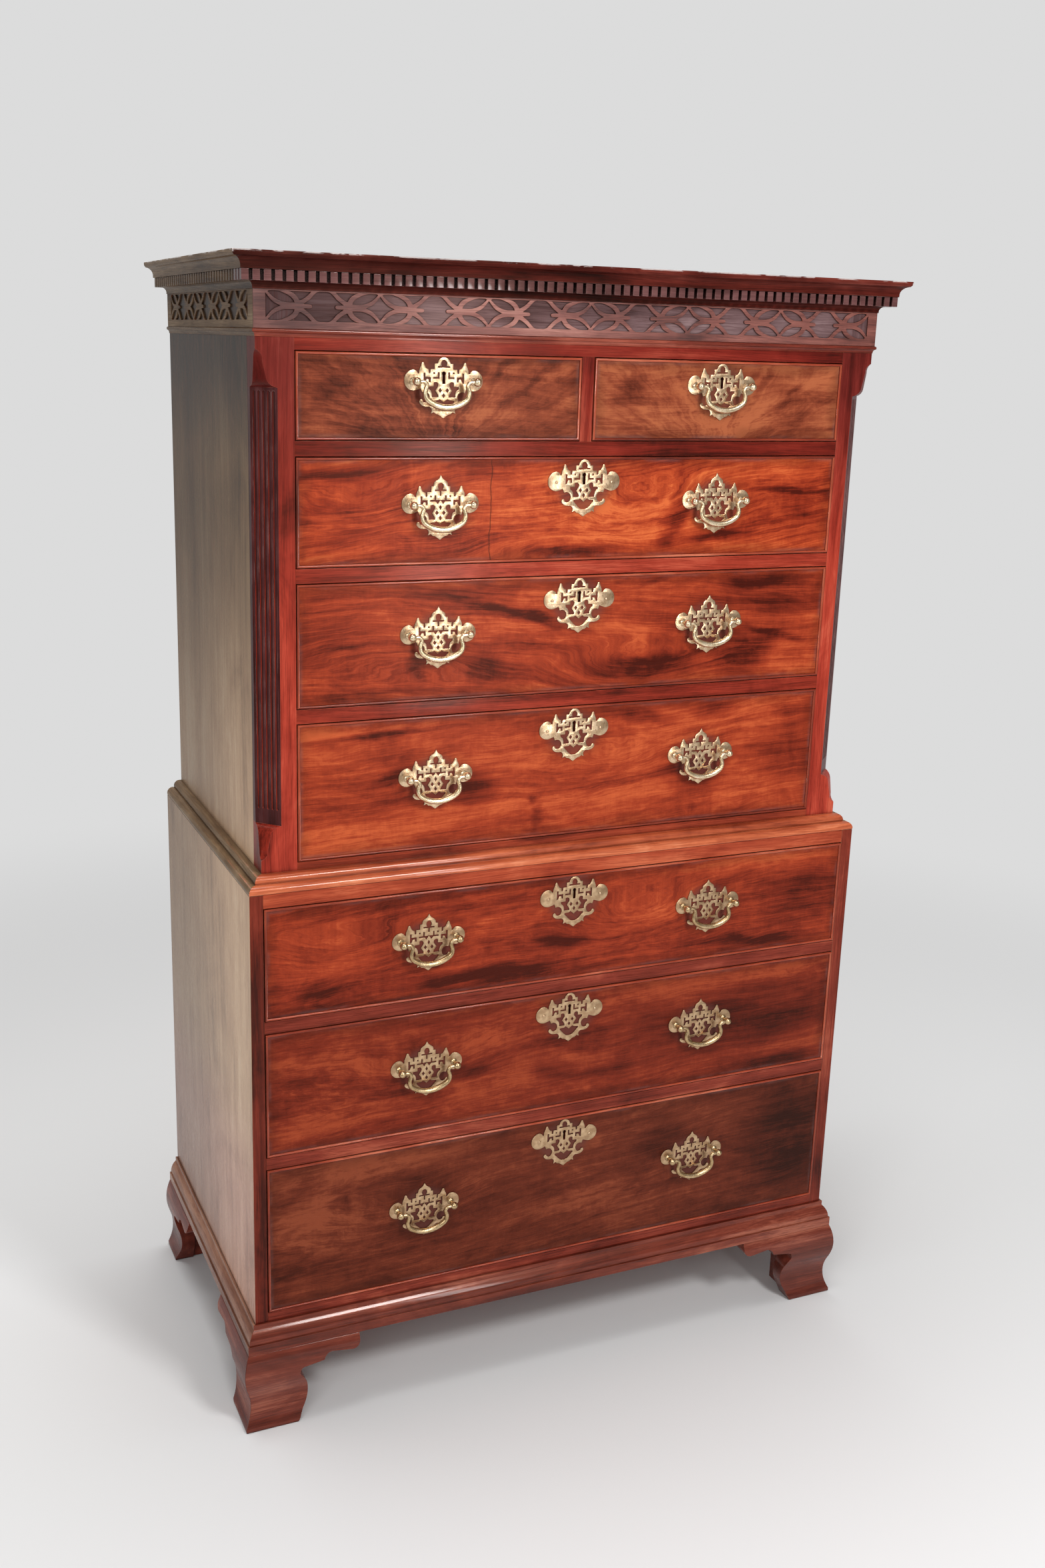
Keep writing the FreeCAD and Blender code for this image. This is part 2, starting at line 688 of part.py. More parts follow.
def corner_post():
    """The front left post: its cant ends in a stepped tongue at both ends and is fluted between."""
    bottom = WAIST_TOP + S.cant_bottom_margin
    top = ASTRAGAL_BOTTOM - S.cant_top_margin
    low = bottom + S.stop_height
    high = top - S.stop_height
    depth = S.cant * HALF_ROOT
    section = outline("cant_section", [
        (-depth, bottom), (0, bottom, STOP_BEND), (S.stop_end_depth, bottom + S.stop_end_height),
        (S.stop_step_depth, low - S.stop_step_height, -STOP_BEND), (depth, low),
        (depth, high, -STOP_BEND), (S.stop_step_depth, high + S.stop_step_height),
        (S.stop_end_depth, top - S.stop_end_height, STOP_BEND), (0, top), (-depth, top),
    ], FreeCAD.Rotation(UP, 45) * FRONT_VIEW)
    tools = [extrude("cant_tool", place(section, -UPPER_HALF, UPPER_FRONT, 0), S.cant * 4, both_ways=True)]
    pitch = S.cant / HALF_ROOT / (FLUTES + FLUTE_MARGIN)
    flute_low = low + S.flute_bottom_margin
    flute_high = high - S.flute_top_margin
    for number in range(FLUTES):
        across = pitch * (number - (FLUTES - 1) / 2)
        x = (depth + across) * HALF_ROOT - UPPER_HALF
        y = (depth - across) * HALF_ROOT + UPPER_FRONT
        tools += [
            cylinder(f"flute_{number}", S.flute_radius, flute_high - flute_low, x, y, flute_low, PLAN_VIEW),
            sphere(f"flute_{number}_foot", S.flute_radius, x, y, flute_low),
            sphere(f"flute_{number}_head", S.flute_radius, x, y, flute_high),
        ]
    blank = box("corner_post_blank", (-UPPER_HALF, -UPPER_OPENING), (UPPER_FRONT, UPPER_FRONT + S.post_depth),
                (LOWER_TOP, DENTIL_BOTTOM))
    return cut("corner_post", blank, tools)


def upper_mouldings():
    nose_bottom = S.astragal_height - S.astragal_top - S.astragal_nose
    moulding("astragal", UPPER_HALF, UPPER_FRONT, ASTRAGAL_BOTTOM, [
        (0, 0), (S.astragal_top, 0, -QUARTER_BEND), (S.astragal_projection, nose_bottom, NOSE_BEND),
        (S.astragal_projection, nose_bottom + S.astragal_nose),
        (S.fret_thickness, S.astragal_height), (0, S.astragal_height),
    ])
    fillet_bottom = S.bed_height + S.dentil_height
    cove_bottom = fillet_bottom + S.crown_fillet
    cove_top = cove_bottom + S.crown_cove_height
    top = cove_top + S.crown_nose_height
    lip = S.dentil_projection + S.crown_lip
    cove_out = lip + S.crown_cove_depth
    nose = cove_out + S.crown_nose_depth
    moulding("cornice", UPPER_HALF, UPPER_FRONT, FRIEZE_TOP, [
        (0, 0), (S.bed_start + S.fret_thickness, 0, -QUARTER_BEND), (S.bed_projection, S.bed_height),
        (S.bed_projection, fillet_bottom), (lip, fillet_bottom), (lip, cove_bottom, -QUARTER_BEND),
        (cove_out, cove_top, NOSE_BEND), (nose, top - S.crown_fillet), (nose, top), (0, top),
    ])


def spaced_teeth(start, end):
    """Both edges of each tooth between two limits, with even gaps and a gap at each end."""
    tooth = S.dentil_width.value
    gap = S.dentil_gap.value
    count = round((end - start - gap) / (tooth + gap))
    gap = (end - start - count * tooth) / (count + 1)
    lefts = [start + gap + number * (tooth + gap) for number in range(count)]
    return [(left, left + tooth) for left in lefts]


def dentils():
    """The toothed course under the crown, round the front and both sides, with a tooth at each corner."""
    half = UPPER_HALF.value
    depth = UPPER_DEPTH.value
    inner = S.bed_projection.value
    root = inner + S.dentil_strip.value
    tip = S.dentil_projection.value
    corner = max(S.dentil_width.value, tip - root)
    left = []
    for front, back in reversed(spaced_teeth(corner - tip, depth)):
        left += [(-half - root, back), (-half - tip, back), (-half - tip, front), (-half - root, front)]
    left += [
        (-half - root, corner - tip), (-half - tip, corner - tip), (-half - tip, -tip),
        (-half - tip + corner, -tip), (-half - tip + corner, -root),
    ]
    across = []
    for start, end in spaced_teeth(-half - tip + corner, half + tip - corner):
        across += [(start, -root), (start, -tip), (end, -tip), (end, -root)]
    right = [(-x, y) for x, y in reversed(left)]
    outside = [(-half - root, depth)] + left + across + right + [(half + root, depth)]
    inside = [(half + inner, depth), (half + inner, -inner), (-half - inner, -inner), (-half - inner, depth)]
    plan = Part.Face(arc_ring(outside + inside))
    course = from_code("dentil_course", plan.extrude(UP * S.dentil_height.value))
    as_node(place(course, 0, UPPER_FRONT, DENTIL_BOTTOM), "dentils")


# Fret

def fret_sheet(length):
    """A pierced sheet with its middle at the origin: rings between leaves, and lozenges between those."""
    half = S.frieze_height.value / 2
    clear = half - S.fret_border.value
    pitch = S.fret_pitch.value
    units = int(length / pitch)

    def opening(corners, middle, way=1, up=1):
        scales = (way * pitch, up * clear) * 2
        shifts = (middle, 0) * 2
        return arc_ring([tuple(value * scale + shift for value, scale, shift in zip(corner, scales, shifts))
                         for corner in corners])

    holes = [opening(FRET_LOZENGE, (unit - units / 2) * pitch) for unit in range(1, units)]
    for unit in range(units):
        middle = (unit + 0.5 - units / 2) * pitch
        ring = Part.Circle(VECTOR(middle, 0, 0), UP, clear - S.fret_strap.value / 2)
        holes.append(Part.Wire([ring.toShape()]))
        for way in (-1, 1):
            for up in (-1, 1):
                holes += [opening(corners, middle, way, up) for corners in (FRET_LEAF, FRET_GABLE)]
    edge = length / 2
    sheet_ring = arc_ring([(-edge, -half), (edge, -half), (edge, half), (-edge, half)])
    pierced = Part.Face(sheet_ring).cut([Part.Face(hole) for hole in holes])
    return pierced.Faces[0].extrude(UP * S.fret_thickness.value)


def fret():
    """The pierced sheets glued round the frieze."""
    middle = FRIEZE_BOTTOM + S.frieze_height / 2
    front_length = 2 * (UPPER_HALF + S.fret_thickness).value
    front = place(from_code("fret_front", fret_sheet(front_length), FRONT_VIEW), 0, UPPER_FRONT, middle)
    side = from_code("fret_left", fret_sheet(UPPER_DEPTH.value), QUARTER_TURN_BACK * FRONT_VIEW)
    place(side, -UPPER_HALF, UPPER_FRONT + UPPER_DEPTH / 2, middle)
    as_node(group("fret_sheets", [front, side, mirrored("fret_right", side)]), "frieze_fret")


# Brasses, each made once about the middle of its own two pivots, or about one pivot, and then copied

def plate(name, crest, has_stems, has_keyhole):
    """A back plate with round ears, spear finials and a pointed apron under its crest."""
    pivot = S.pivot_spacing.value / 2
    stretch = pivot / DRAWN_PIVOT
    scales = (stretch, 1) * 2
    corners = [tuple(value * scale for value, scale in zip(corner, scales)) for corner in crest + PLATE_SIDE]
    thick = UP * S.plate_thickness.value
    half = Part.Face(arc_ring(corners)).extrude(thick)
    ear = Part.makeCylinder(S.ear_radius.value, thick.z, VECTOR(pivot, 0, 0))
    half = half.fuse(ear)
    if has_stems:
        hole = (S.stem_radius + S.stem_clearance).value
        half = half.cut(Part.makeCylinder(hole, thick.z, VECTOR(pivot, 0, 0)))
    solid = half.fuse(half.mirror(VECTOR(), VECTOR(1, 0, 0)))
    if has_keyhole:
        eye = VECTOR(0, S.keyhole_rise.value, 0)
        slot = S.keyhole_slot.value
        length = S.keyhole_length.value
        solid = solid.cut(Part.makeCylinder(S.keyhole_radius.value, thick.z, eye))
        solid = solid.cut(Part.makeBox(slot, length, thick.z, eye - VECTOR(slot / 2, length, 0)))
    return from_code(name, solid.removeSplitter(), FRONT_VIEW)


def handle_post():
    """The left post of a handle: a ball on a stem that passes through the plate and the drawer front."""
    ball = sphere("post_ball", S.ball_radius, 0, -PLATE_TO_AXIS, 0)
    stem_end = S.front_thickness + S.nut_thickness + S.stem_end
    stem = cylinder("post_stem", S.stem_radius, stem_end + PLATE_TO_AXIS, 0, stem_end, 0, FRONT_VIEW)
    collar = cylinder("post_collar", S.collar_radius, S.collar_thickness, 0, -S.plate_thickness, 0,
                      FRONT_VIEW)
    bore = cylinder("post_bore", S.pivot_radius + S.pivot_clearance, S.ball_radius,
                    S.ball_radius - S.pivot_depth, -PLATE_TO_AXIS, 0, TOWARDS_RIGHT)
    return cut("handle_post", fuse("post_blank", [ball, stem, collar]), [bore])


def handle_nut():
    """The nut that holds a post from inside the drawer."""
    start = S.front_thickness + S.nut_thickness
    body = cylinder("nut_body", S.nut_radius, S.nut_thickness, 0, start, 0, FRONT_VIEW)
    bore = cylinder("nut_bore", S.stem_radius + S.thread_clearance, S.nut_thickness, 0, start, 0, FRONT_VIEW)
    return cut("handle_nut", body, [bore])


def polar(angle):
    """A unit vector in the upright plane of the front."""
    return VECTOR(math.cos(angle), 0, math.sin(angle))


def bail_path():
    """The middle line of a bail: shank, swan neck, shoulder and bow, in the plane of its pivots."""
    lean = math.radians(NECK_LEAN)
    spread = math.radians(BOW_HALF_ANGLE)
    neck = S.neck_radius.value
    shoulder = S.shoulder_radius.value
    pivot = S.pivot_spacing.value / 2
    start = VECTOR(pivot - (S.ball_radius + S.pivot_end_gap).value, 0, 0)
    bend = VECTOR(pivot - S.bail_shank.value, 0, 0)
    neck_centre = bend - UP * neck
    neck_end = neck_centre + polar(math.pi + lean) * neck
    neck_middle = neck_centre + polar((math.pi * 3 / 2 + lean) / 2) * neck
    drop = neck_end + polar(lean - math.pi / 2) * S.neck_length.value
    shoulder_centre = drop - polar(lean) * shoulder
    shoulder_end = shoulder_centre + polar(spread - math.pi / 2) * shoulder
    shoulder_middle = shoulder_centre + polar((lean + spread - math.pi / 2) / 2) * shoulder
    bow = shoulder + shoulder_centre.x / math.sin(spread)
    bottom = VECTOR(0, 0, shoulder_end.z - bow * (1 - math.cos(spread)))
    right = [
        Part.LineSegment(start, bend),
        Part.Arc(bend, neck_middle, neck_end),
        Part.LineSegment(neck_end, drop),
        Part.Arc(drop, shoulder_middle, shoulder_end),
    ]
    edges = [curve.toShape() for curve in right]
    left = [edge.mirror(VECTOR(), VECTOR(1, 0, 0)) for edge in reversed(edges)]
    other_end = VECTOR(-shoulder_end.x, 0, shoulder_end.z)
    return Part.Wire(edges + [Part.Arc(shoulder_end, bottom, other_end).toShape()] + left)


def bail():
    """A bail about its pivot line, with a pin at each end that turns in the ball of a post."""
    path = from_code("bail_path", bail_path())
    end = S.pivot_spacing / 2 - S.ball_radius - S.pivot_end_gap
    ring = doc.addObject("Part::Circle", "bail_ring")
    ring.Placement = FreeCAD.Placement(VECTOR(), TOWARDS_RIGHT)
    ring.setExpression("Radius", S.bail_radius.text)
    rod = doc.addObject("Part::Sweep", "bail_rod")
    rod.Sections = [place(ring, end, 0, 0)]
    rod.Spine = (path, [f"Edge{number}" for number in range(1, len(path.Shape.Edges) + 1)])
    rod.Solid = True
    rod.Frenet = False
    right = cylinder("bail_pin_right", S.pivot_radius, S.pivot_depth, end, 0, 0, TOWARDS_RIGHT)
    return fuse("bail", [rod, right, mirrored("bail_pin_left", right)])


def lock():
    """A box lock on the inside of a drawer front, behind the keyhole."""
    half = S.lock_width / 2
    top = LOCK_DROP - S.drawer_gap - S.bead_width
    deep = (S.front_thickness, S.front_thickness + S.lock_thickness)
    return box("drawer_lock", (-half, half), deep, (top - S.lock_height, top))


# Drawers

def drawer_plan(name, across, floor, height, front, handle_spacing=None):
    """What the pieces of one drawer share: its opening, its front plane and where its brasses go."""
    middle = (across[0] + across[1]) / 2
    top = floor + height
    lock_level = top - LOCK_DROP
    if handle_spacing is None:
        handles = [("", middle)]
        level = lock_level
    else:
        handles = [("_left", middle - handle_spacing / 2), ("_right", middle + handle_spacing / 2)]
        level = floor + height / 2 + S.handle_rise
    return SimpleNamespace(
        name=name, floor=floor, top=top, front=front, inside=front + S.front_thickness, middle=middle,
        left=across[0] + S.drawer_gap, right=across[1] - S.drawer_gap, lock_level=lock_level,
        handles=handles, level=level, has_escutcheon=handle_spacing is not None,
    )


def drawer_front(plan):
    """A veneered front with a cock bead let in round its edge, drilled for its brasses."""
    name = plan.name
    bead = S.bead_width
    bottom = plan.floor + S.drawer_gap
    top = plan.top - S.drawer_gap
    inner_x = (plan.left + bead, plan.right - bead)
    inner_z = (bottom + bead, top - bead)
    rebate = plan.front + S.bead_depth
    face = box(f"{name}_face", inner_x, (plan.front, plan.inside), inner_z)
    ground = box(f"{name}_ground", (plan.left, plan.right), (rebate, plan.inside), (bottom, top))
    tools = []
    for side, x in plan.handles:
        for way, pivot in (("left", x - S.pivot_spacing / 2), ("right", x + S.pivot_spacing / 2)):
            tools.append(cylinder(f"{name}{side}_hole_{way}", S.stem_radius + S.stem_clearance,
                                  S.front_thickness, pivot, plan.inside, plan.level, FRONT_VIEW))
    eye = plan.lock_level + S.keyhole_rise
    slot = (plan.middle - S.keyhole_slot / 2, plan.middle + S.keyhole_slot / 2)
    tools.append(cylinder(f"{name}_keyhole", S.keyhole_radius, S.front_thickness, plan.middle, plan.inside,
                          eye, FRONT_VIEW))
    tools.append(box(f"{name}_keyslot", slot, (plan.front, plan.inside), (eye - S.keyhole_length, eye)))
    proud = (plan.front - S.bead_proud, rebate)
    pieces = [
        cut(f"{name}_board", fuse(f"{name}_blank", [face, ground]), tools),
        box(f"{name}_bead_top", (plan.left, plan.right), proud, (inner_z[1], top)),
        box(f"{name}_bead_bottom", (plan.left, plan.right), proud, (bottom, inner_z[0])),
        box(f"{name}_bead_left", (plan.left, inner_x[0]), proud, inner_z),
        box(f"{name}_bead_right", (inner_x[1], plan.right), proud, inner_z),
    ]
    as_node(group(f"{name}_front_set", pieces), f"{name}_front")


def drawer_box(plan):
    """The drawer's two sides, back and floor."""
    name = plan.name
    inside = (plan.left + S.lining, plan.right - S.lining)
    end = BACK_INSIDE - S.drawer_end_gap
    deep = (plan.inside, end)
    low = plan.floor + S.running_gap
    floor = (low + S.floor_raise, low + S.floor_raise + S.drawer_floor)
    tall = (low, plan.top - S.side_drop)
    pieces = [
        box(f"{name}_side_left", (plan.left, inside[0]), deep, tall),
        box(f"{name}_side_right", (inside[1], plan.right), deep, tall),
        box(f"{name}_back", inside, (end - S.lining, end), (floor[1], plan.top - S.back_drop)),
        box(f"{name}_floor", inside, deep, floor),
    ]
    as_node(group(f"{name}_box_set", pieces), f"{name}_box")


def drawer_brasses(plan, brasses):
    """The plates, posts, nuts and lock of a drawer as one node, and each bail as its own."""
    name = plan.name
    pieces = [copy_of(brasses.lock, f"{name}_lock", plan.middle, plan.front, plan.lock_level)]
    back_plate = brasses.lock_plate
    if plan.has_escutcheon:
        back_plate = brasses.handle_plate
        pieces.append(copy_of(brasses.escutcheon, f"{name}_escutcheon", plan.middle, plan.front,
                              plan.lock_level))
    for side, x in plan.handles:
        tag = f"{name}{side}"
        pieces.append(copy_of(back_plate, f"{tag}_plate", x, plan.front, plan.level))
        for way, post, pivot in (("left", brasses.left_post, x - S.pivot_spacing / 2),
                                 ("right", brasses.right_post, x + S.pivot_spacing / 2)):
            pieces.append(copy_of(post, f"{tag}_post_{way}", pivot, plan.front, plan.level))
            pieces.append(copy_of(brasses.nut, f"{tag}_nut_{way}", pivot, plan.front, plan.level))
        swing = copy_of(brasses.bail, f"{tag}_bail_copy", x, plan.front - PLATE_TO_AXIS, plan.level)
        as_node(group(f"{tag}_bail_set", [swing]), f"{name}_bail{side}")
    as_node(group(f"{name}_brass_set", pieces), f"{name}_brass")


def drawers():
    post = handle_post()
    brasses = SimpleNamespace(
        lock_plate=plate("lock_plate", ARCH_CREST, has_stems=True, has_keyhole=True),
        handle_plate=plate("handle_plate", SPADE_CREST, has_stems=True, has_keyhole=False),
        escutcheon=plate("escutcheon", ARCH_CREST, has_stems=False, has_keyhole=True),
        left_post=post, right_post=mirrored("handle_post_right", post),
        nut=handle_nut(), bail=bail(), lock=lock(),
    )
    half = S.partition / 2
    short = (SHORT_FLOOR, S.short_drawer, UPPER_FRONT)
    plans = [
        drawer_plan("short_drawer_left", (-UPPER_OPENING, -half), *short),
        drawer_plan("short_drawer_right", (half, UPPER_OPENING), *short),
    ]
    upper = (-UPPER_OPENING, UPPER_OPENING), UPPER_FRONT, S.upper_handle_spacing
    lower = (-LOWER_OPENING, LOWER_OPENING), FRONT, S.lower_handle_spacing
    for name, floor, height, (across, front, spacing) in (
        ("upper_drawer_top", UPPER_FLOOR_3, S.upper_top_drawer, upper),
        ("upper_drawer_middle", UPPER_FLOOR_2, S.upper_middle_drawer, upper),
        ("upper_drawer_bottom", UPPER_FLOOR, S.upper_bottom_drawer, upper),
        ("lower_drawer_top", LOWER_FLOOR_3, S.lower_top_drawer, lower),
        ("lower_drawer_middle", LOWER_FLOOR_2, S.lower_middle_drawer, lower),
        ("lower_drawer_bottom", LOWER_FLOOR, S.lower_bottom_drawer, lower),
    ):
        plans.append(drawer_plan(name, across, floor, height, front, spacing))
    for plan in plans:
        drawer_front(plan)
        drawer_box(plan)
        drawer_brasses(plan, brasses)


lower_case()
lower_mouldings()
feet()
upper_case()
upper_mouldings()
dentils()
fret()
drawers()
doc.recompute()

for thing in doc.Objects:
    if "Invalid" in thing.State or "Error" in thing.State:
        raise RuntimeError(f"{thing.Name} failed: {thing.State}")
for node in nodes:
    if node.Shape.isNull() or not node.Shape.isValid():
        raise RuntimeError(f"{node.Label} has no valid shape")

os.makedirs("parts", exist_ok=True)
for node in nodes:
    node.Shape.exportStep(f"parts/{node.Label}.step")
    print(node.Label, len(node.Shape.Solids), "solids", round(node.Shape.Volume / 1000), "cm3")
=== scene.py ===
"""Looks of a chest on chest: mahogany and veneer finishes, pierced brasses and a fret frieze.

Lengths are metres in the part's own frame, where the front faces -Y. Flat outlines are drawn in millimetres.
"""

import json
import math

import bmesh
import bpy
from mathutils import Matrix, Vector
from mathutils.kdtree import KDTree

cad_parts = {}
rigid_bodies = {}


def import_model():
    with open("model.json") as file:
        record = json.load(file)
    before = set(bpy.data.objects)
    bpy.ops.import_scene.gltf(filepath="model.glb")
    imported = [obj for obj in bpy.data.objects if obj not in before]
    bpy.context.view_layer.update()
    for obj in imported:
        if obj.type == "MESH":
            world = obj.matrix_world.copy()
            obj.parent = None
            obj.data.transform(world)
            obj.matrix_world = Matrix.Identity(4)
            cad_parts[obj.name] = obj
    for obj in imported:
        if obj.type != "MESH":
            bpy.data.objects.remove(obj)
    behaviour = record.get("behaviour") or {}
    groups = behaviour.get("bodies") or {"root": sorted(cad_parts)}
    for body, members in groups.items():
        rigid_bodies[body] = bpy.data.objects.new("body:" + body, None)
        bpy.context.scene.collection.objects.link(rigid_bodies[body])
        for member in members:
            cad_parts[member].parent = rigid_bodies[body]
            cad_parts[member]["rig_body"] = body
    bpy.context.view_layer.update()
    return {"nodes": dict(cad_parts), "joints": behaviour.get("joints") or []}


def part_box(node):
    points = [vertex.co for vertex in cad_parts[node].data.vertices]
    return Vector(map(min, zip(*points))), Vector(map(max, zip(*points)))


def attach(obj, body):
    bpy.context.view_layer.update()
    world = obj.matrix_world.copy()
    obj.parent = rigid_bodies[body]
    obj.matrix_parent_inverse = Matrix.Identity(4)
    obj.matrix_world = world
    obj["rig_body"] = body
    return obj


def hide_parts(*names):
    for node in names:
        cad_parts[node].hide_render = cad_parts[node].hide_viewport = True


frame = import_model()

NODES = frame["nodes"]
HINGES = {joint["child"]: Vector(joint["pos_m"]) for joint in frame["joints"] if joint["type"] == "hinge"}
DRAWERS = sorted(name[: -len("_front")] for name in NODES if name.endswith("_front"))
MM = 0.001

# Sizes that the pieces here share with the frame
BEAD_WIDTH = 0.004
BEAD_DEPTH = 0.010
BEAD_PROUD = 0.0025
PLATE_THICK = 0.0016
PIVOT_OUT = 0.0166
HALF_PIVOTS = 0.047
FRONT_THICK = 0.022
LOCK_DROP = 0.0383
LOCK_SIZE = (0.070, 0.011, 0.046)
RAIL_DEPTH = 0.070
PARTITION_HALF = 0.01025
FLUTES = (1.009, 1.649)
WAIST_RAILS = (0.886, 0.95)

# Where the photograph was taken from, and how its frame lies round the lens axis
CAMERA_PLACE = (-1.0977, -2.4576, 1.7206)
CAMERA_YAW = 23.78
CAMERA_PITCH = -15.12
CAMERA_ROLL = 1.64
CAMERA_LENS = 36.32
CAMERA_SHIFT = (0.0140, -0.0098)

# Meshes: angles in degrees below which shading runs smoothly across an edge, and how finely curves are cut

SHEET_SMOOTH = 35
ROUND_SMOOTH = 50
WELD_REACH = 1e-6
SHEET_STEPS = 4
TURNED_SIDES = 28


def new_object(name, data):
    made = bpy.data.objects.new(name, data)
    bpy.context.scene.collection.objects.link(made)
    return made


def mesh_from(name, vertices, faces):
    mesh = bpy.data.meshes.new(name)
    mesh.from_pydata(vertices, [], faces)
    mesh.update()
    return mesh


def smoothed(mesh, below):
    """Smooth shading across edges softer than an angle in degrees."""
    mesh.shade_smooth()
    mesh.set_sharp_from_angle(angle=math.radians(below))
    return mesh


def weld(mesh, smooth_below):
    """Joins doubled points, turns all faces outward and smooths across edges softer than an angle."""
    work = bmesh.new()
    work.from_mesh(mesh)
    bmesh.ops.remove_doubles(work, verts=work.verts, dist=WELD_REACH)
    bmesh.ops.recalc_face_normals(work, faces=work.faces)
    work.to_mesh(mesh)
    work.free()
    return smoothed(mesh, smooth_below)


def mesh_of(name, work):
    """The mesh of a finished bmesh, which goes."""
    mesh = bpy.data.meshes.new(name)
    work.to_mesh(mesh)
    work.free()
    return mesh


def join_meshes(name, parts):
    """One mesh of several, each given with the matrix that puts it in place."""
    work = bmesh.new()
    for mesh, matrix in parts:
        start = len(work.verts)
        work.from_mesh(mesh)
        work.verts.ensure_lookup_table()
        bmesh.ops.transform(work, matrix=matrix, verts=work.verts[start:])
    return mesh_of(name, work)


def mesh_of_curve(name, curve):
    """The mesh that a curve draws; the curve goes."""
    drawn = new_object(name + ".drawn", curve)
    graph = bpy.context.evaluated_depsgraph_get()
    mesh = bpy.data.meshes.new_from_object(drawn.evaluated_get(graph))
    mesh.name = name
    bpy.data.objects.remove(drawn)
    bpy.data.curves.remove(curve)
    return mesh


def sheet_mesh(name, rings, thickness, bevel):
    """A flat sheet cut out of closed rings in millimetres, smooth at the points that have a third value.

    The sheet stands upright: its drawing faces -Y and its back lies at y = 0.
    """
    curve = bpy.data.curves.new(name + ".curve", "CURVE")
    curve.dimensions = "2D"
    curve.fill_mode = "BOTH"
    curve.resolution_u = SHEET_STEPS
    curve.extrude = thickness / 2 - bevel
    curve.bevel_depth = bevel
    curve.bevel_resolution = 1
    curve.offset = -bevel
    for ring in rings:
        spline = curve.splines.new("BEZIER")
        spline.bezier_points.add(len(ring) - 1)
        spline.use_cyclic_u = True
        for point, corner in zip(spline.bezier_points, ring):
            point.co = (corner[0] * MM, corner[1] * MM, 0)
            kind = "AUTO" if len(corner) > 2 else "VECTOR"
            point.handle_left_type = kind
            point.handle_right_type = kind
    mesh = mesh_of_curve(name, curve)
    mesh.transform(Matrix.Translation((0, -thickness / 2, 0)) @ Matrix.Rotation(math.pi / 2, 4, "X"))
    return weld(mesh, SHEET_SMOOTH)


def tube_mesh(name, points, radii, roundness):
    """A round rod of changing thickness along points in metres."""
    curve = bpy.data.curves.new(name + ".curve", "CURVE")
    curve.dimensions = "3D"
    curve.bevel_depth = 1.0
    curve.bevel_resolution = roundness
    curve.use_fill_caps = True
    spline = curve.splines.new("POLY")
    spline.points.add(len(points) - 1)
    for point, place, radius in zip(spline.points, points, radii):
        point.co = (*place, 1)
        point.radius = radius
    return weld(mesh_of_curve(name, curve), ROUND_SMOOTH)


def lofted(name, rings, looped=False, capped=False):
    """A skin over rings of equally many points. A looped one runs from the last ring back to the first."""
    count = len(rings[0])
    vertices = [point for ring in rings for point in ring]
    faces = []
    for station in range(len(rings) if looped else len(rings) - 1):
        here = station * count
        there = (station + 1) % len(rings) * count
        for number in range(count):
            after = (number + 1) % count
            faces.append((here + number, there + number, there + after, here + after))
    if capped:
        faces.append(tuple(range(count)))
        faces.append(tuple(range(len(vertices) - count, len(vertices))))
    return weld(mesh_from(name, vertices, faces), ROUND_SMOOTH)


def turned_mesh(name, profile):
    """A turned solid about the Y axis, from (radius, distance out along -Y) in millimetres."""
    turns = [2 * math.pi * number / TURNED_SIDES for number in range(TURNED_SIDES)]
    rings = [[(radius * MM * math.cos(turn), -out * MM, radius * MM * math.sin(turn)) for turn in turns]
             for radius, out in profile]
    return lofted(name, rings)


def border_mesh(name, low, high, profile):
    """A mitred strip round a rectangle in the front plane, from (distance in from the rim, y) in metres."""
    corners = ((low.x, low.z, 1, 1), (high.x, low.z, -1, 1), (high.x, high.z, -1, -1), (low.x, high.z, 1, -1))
    rings = [[(x + right * inset, y, z + up * inset) for inset, y in profile] for x, z, right, up in corners]
    return lofted(name, rings, looped=True)


def skirt_mesh(name, low, high, profile):
    """A moulding round the front and both sides of a box, from (distance in, height) in metres."""
    ends = ((low.x, high.y, 1, 0), (low.x, low.y, 1, 1), (high.x, low.y, -1, 1), (high.x, high.y, -1, 0))
    rings = [[(x + right * inset, y + back * inset, z) for inset, z in profile] for x, y, right, back in ends]
    return lofted(name, rings, capped=True)


SQUARE_CORNERS = ((-1, -1), (1, -1), (1, 1), (-1, 1))


def arc_points(centre, radius, start, end, count):
    """Points on an arc, angles in degrees, both ends included."""
    found = []
    for number in range(count + 1):
        angle = math.radians(start + (end - start) * number / count)
        found.append((centre[0] + radius * math.cos(angle), centre[1] + radius * math.sin(angle)))
    return found


def mirrored(points):
    return [(-point[0], *point[1:]) for point in points]


def upended(points):
    return [(point[0], -point[1], *point[2:]) for point in points]


def closed(half):
    """A ring from its right half, which starts and ends on the middle line."""
    return half + mirrored(half[-2:0:-1])


def both_sides(*rings):
    """Those rings and their mirror images."""
    return [ring for half in rings for ring in (half, mirrored(half))]


def moved(ring, across, up):
    return [(point[0] + across, point[1] + up, *point[2:]) for point in ring]


# Soft-edged copies of the CAD solids

SAME_POINT = 4e-6
FLAT_ANGLE = 0.6
SHARP_ANGLE = 38
CRISP_ARRIS = 0.0004
ARRIS = 0.0006
SOFT_ARRIS = 0.001
ROUGH_ARRIS = 0.0015


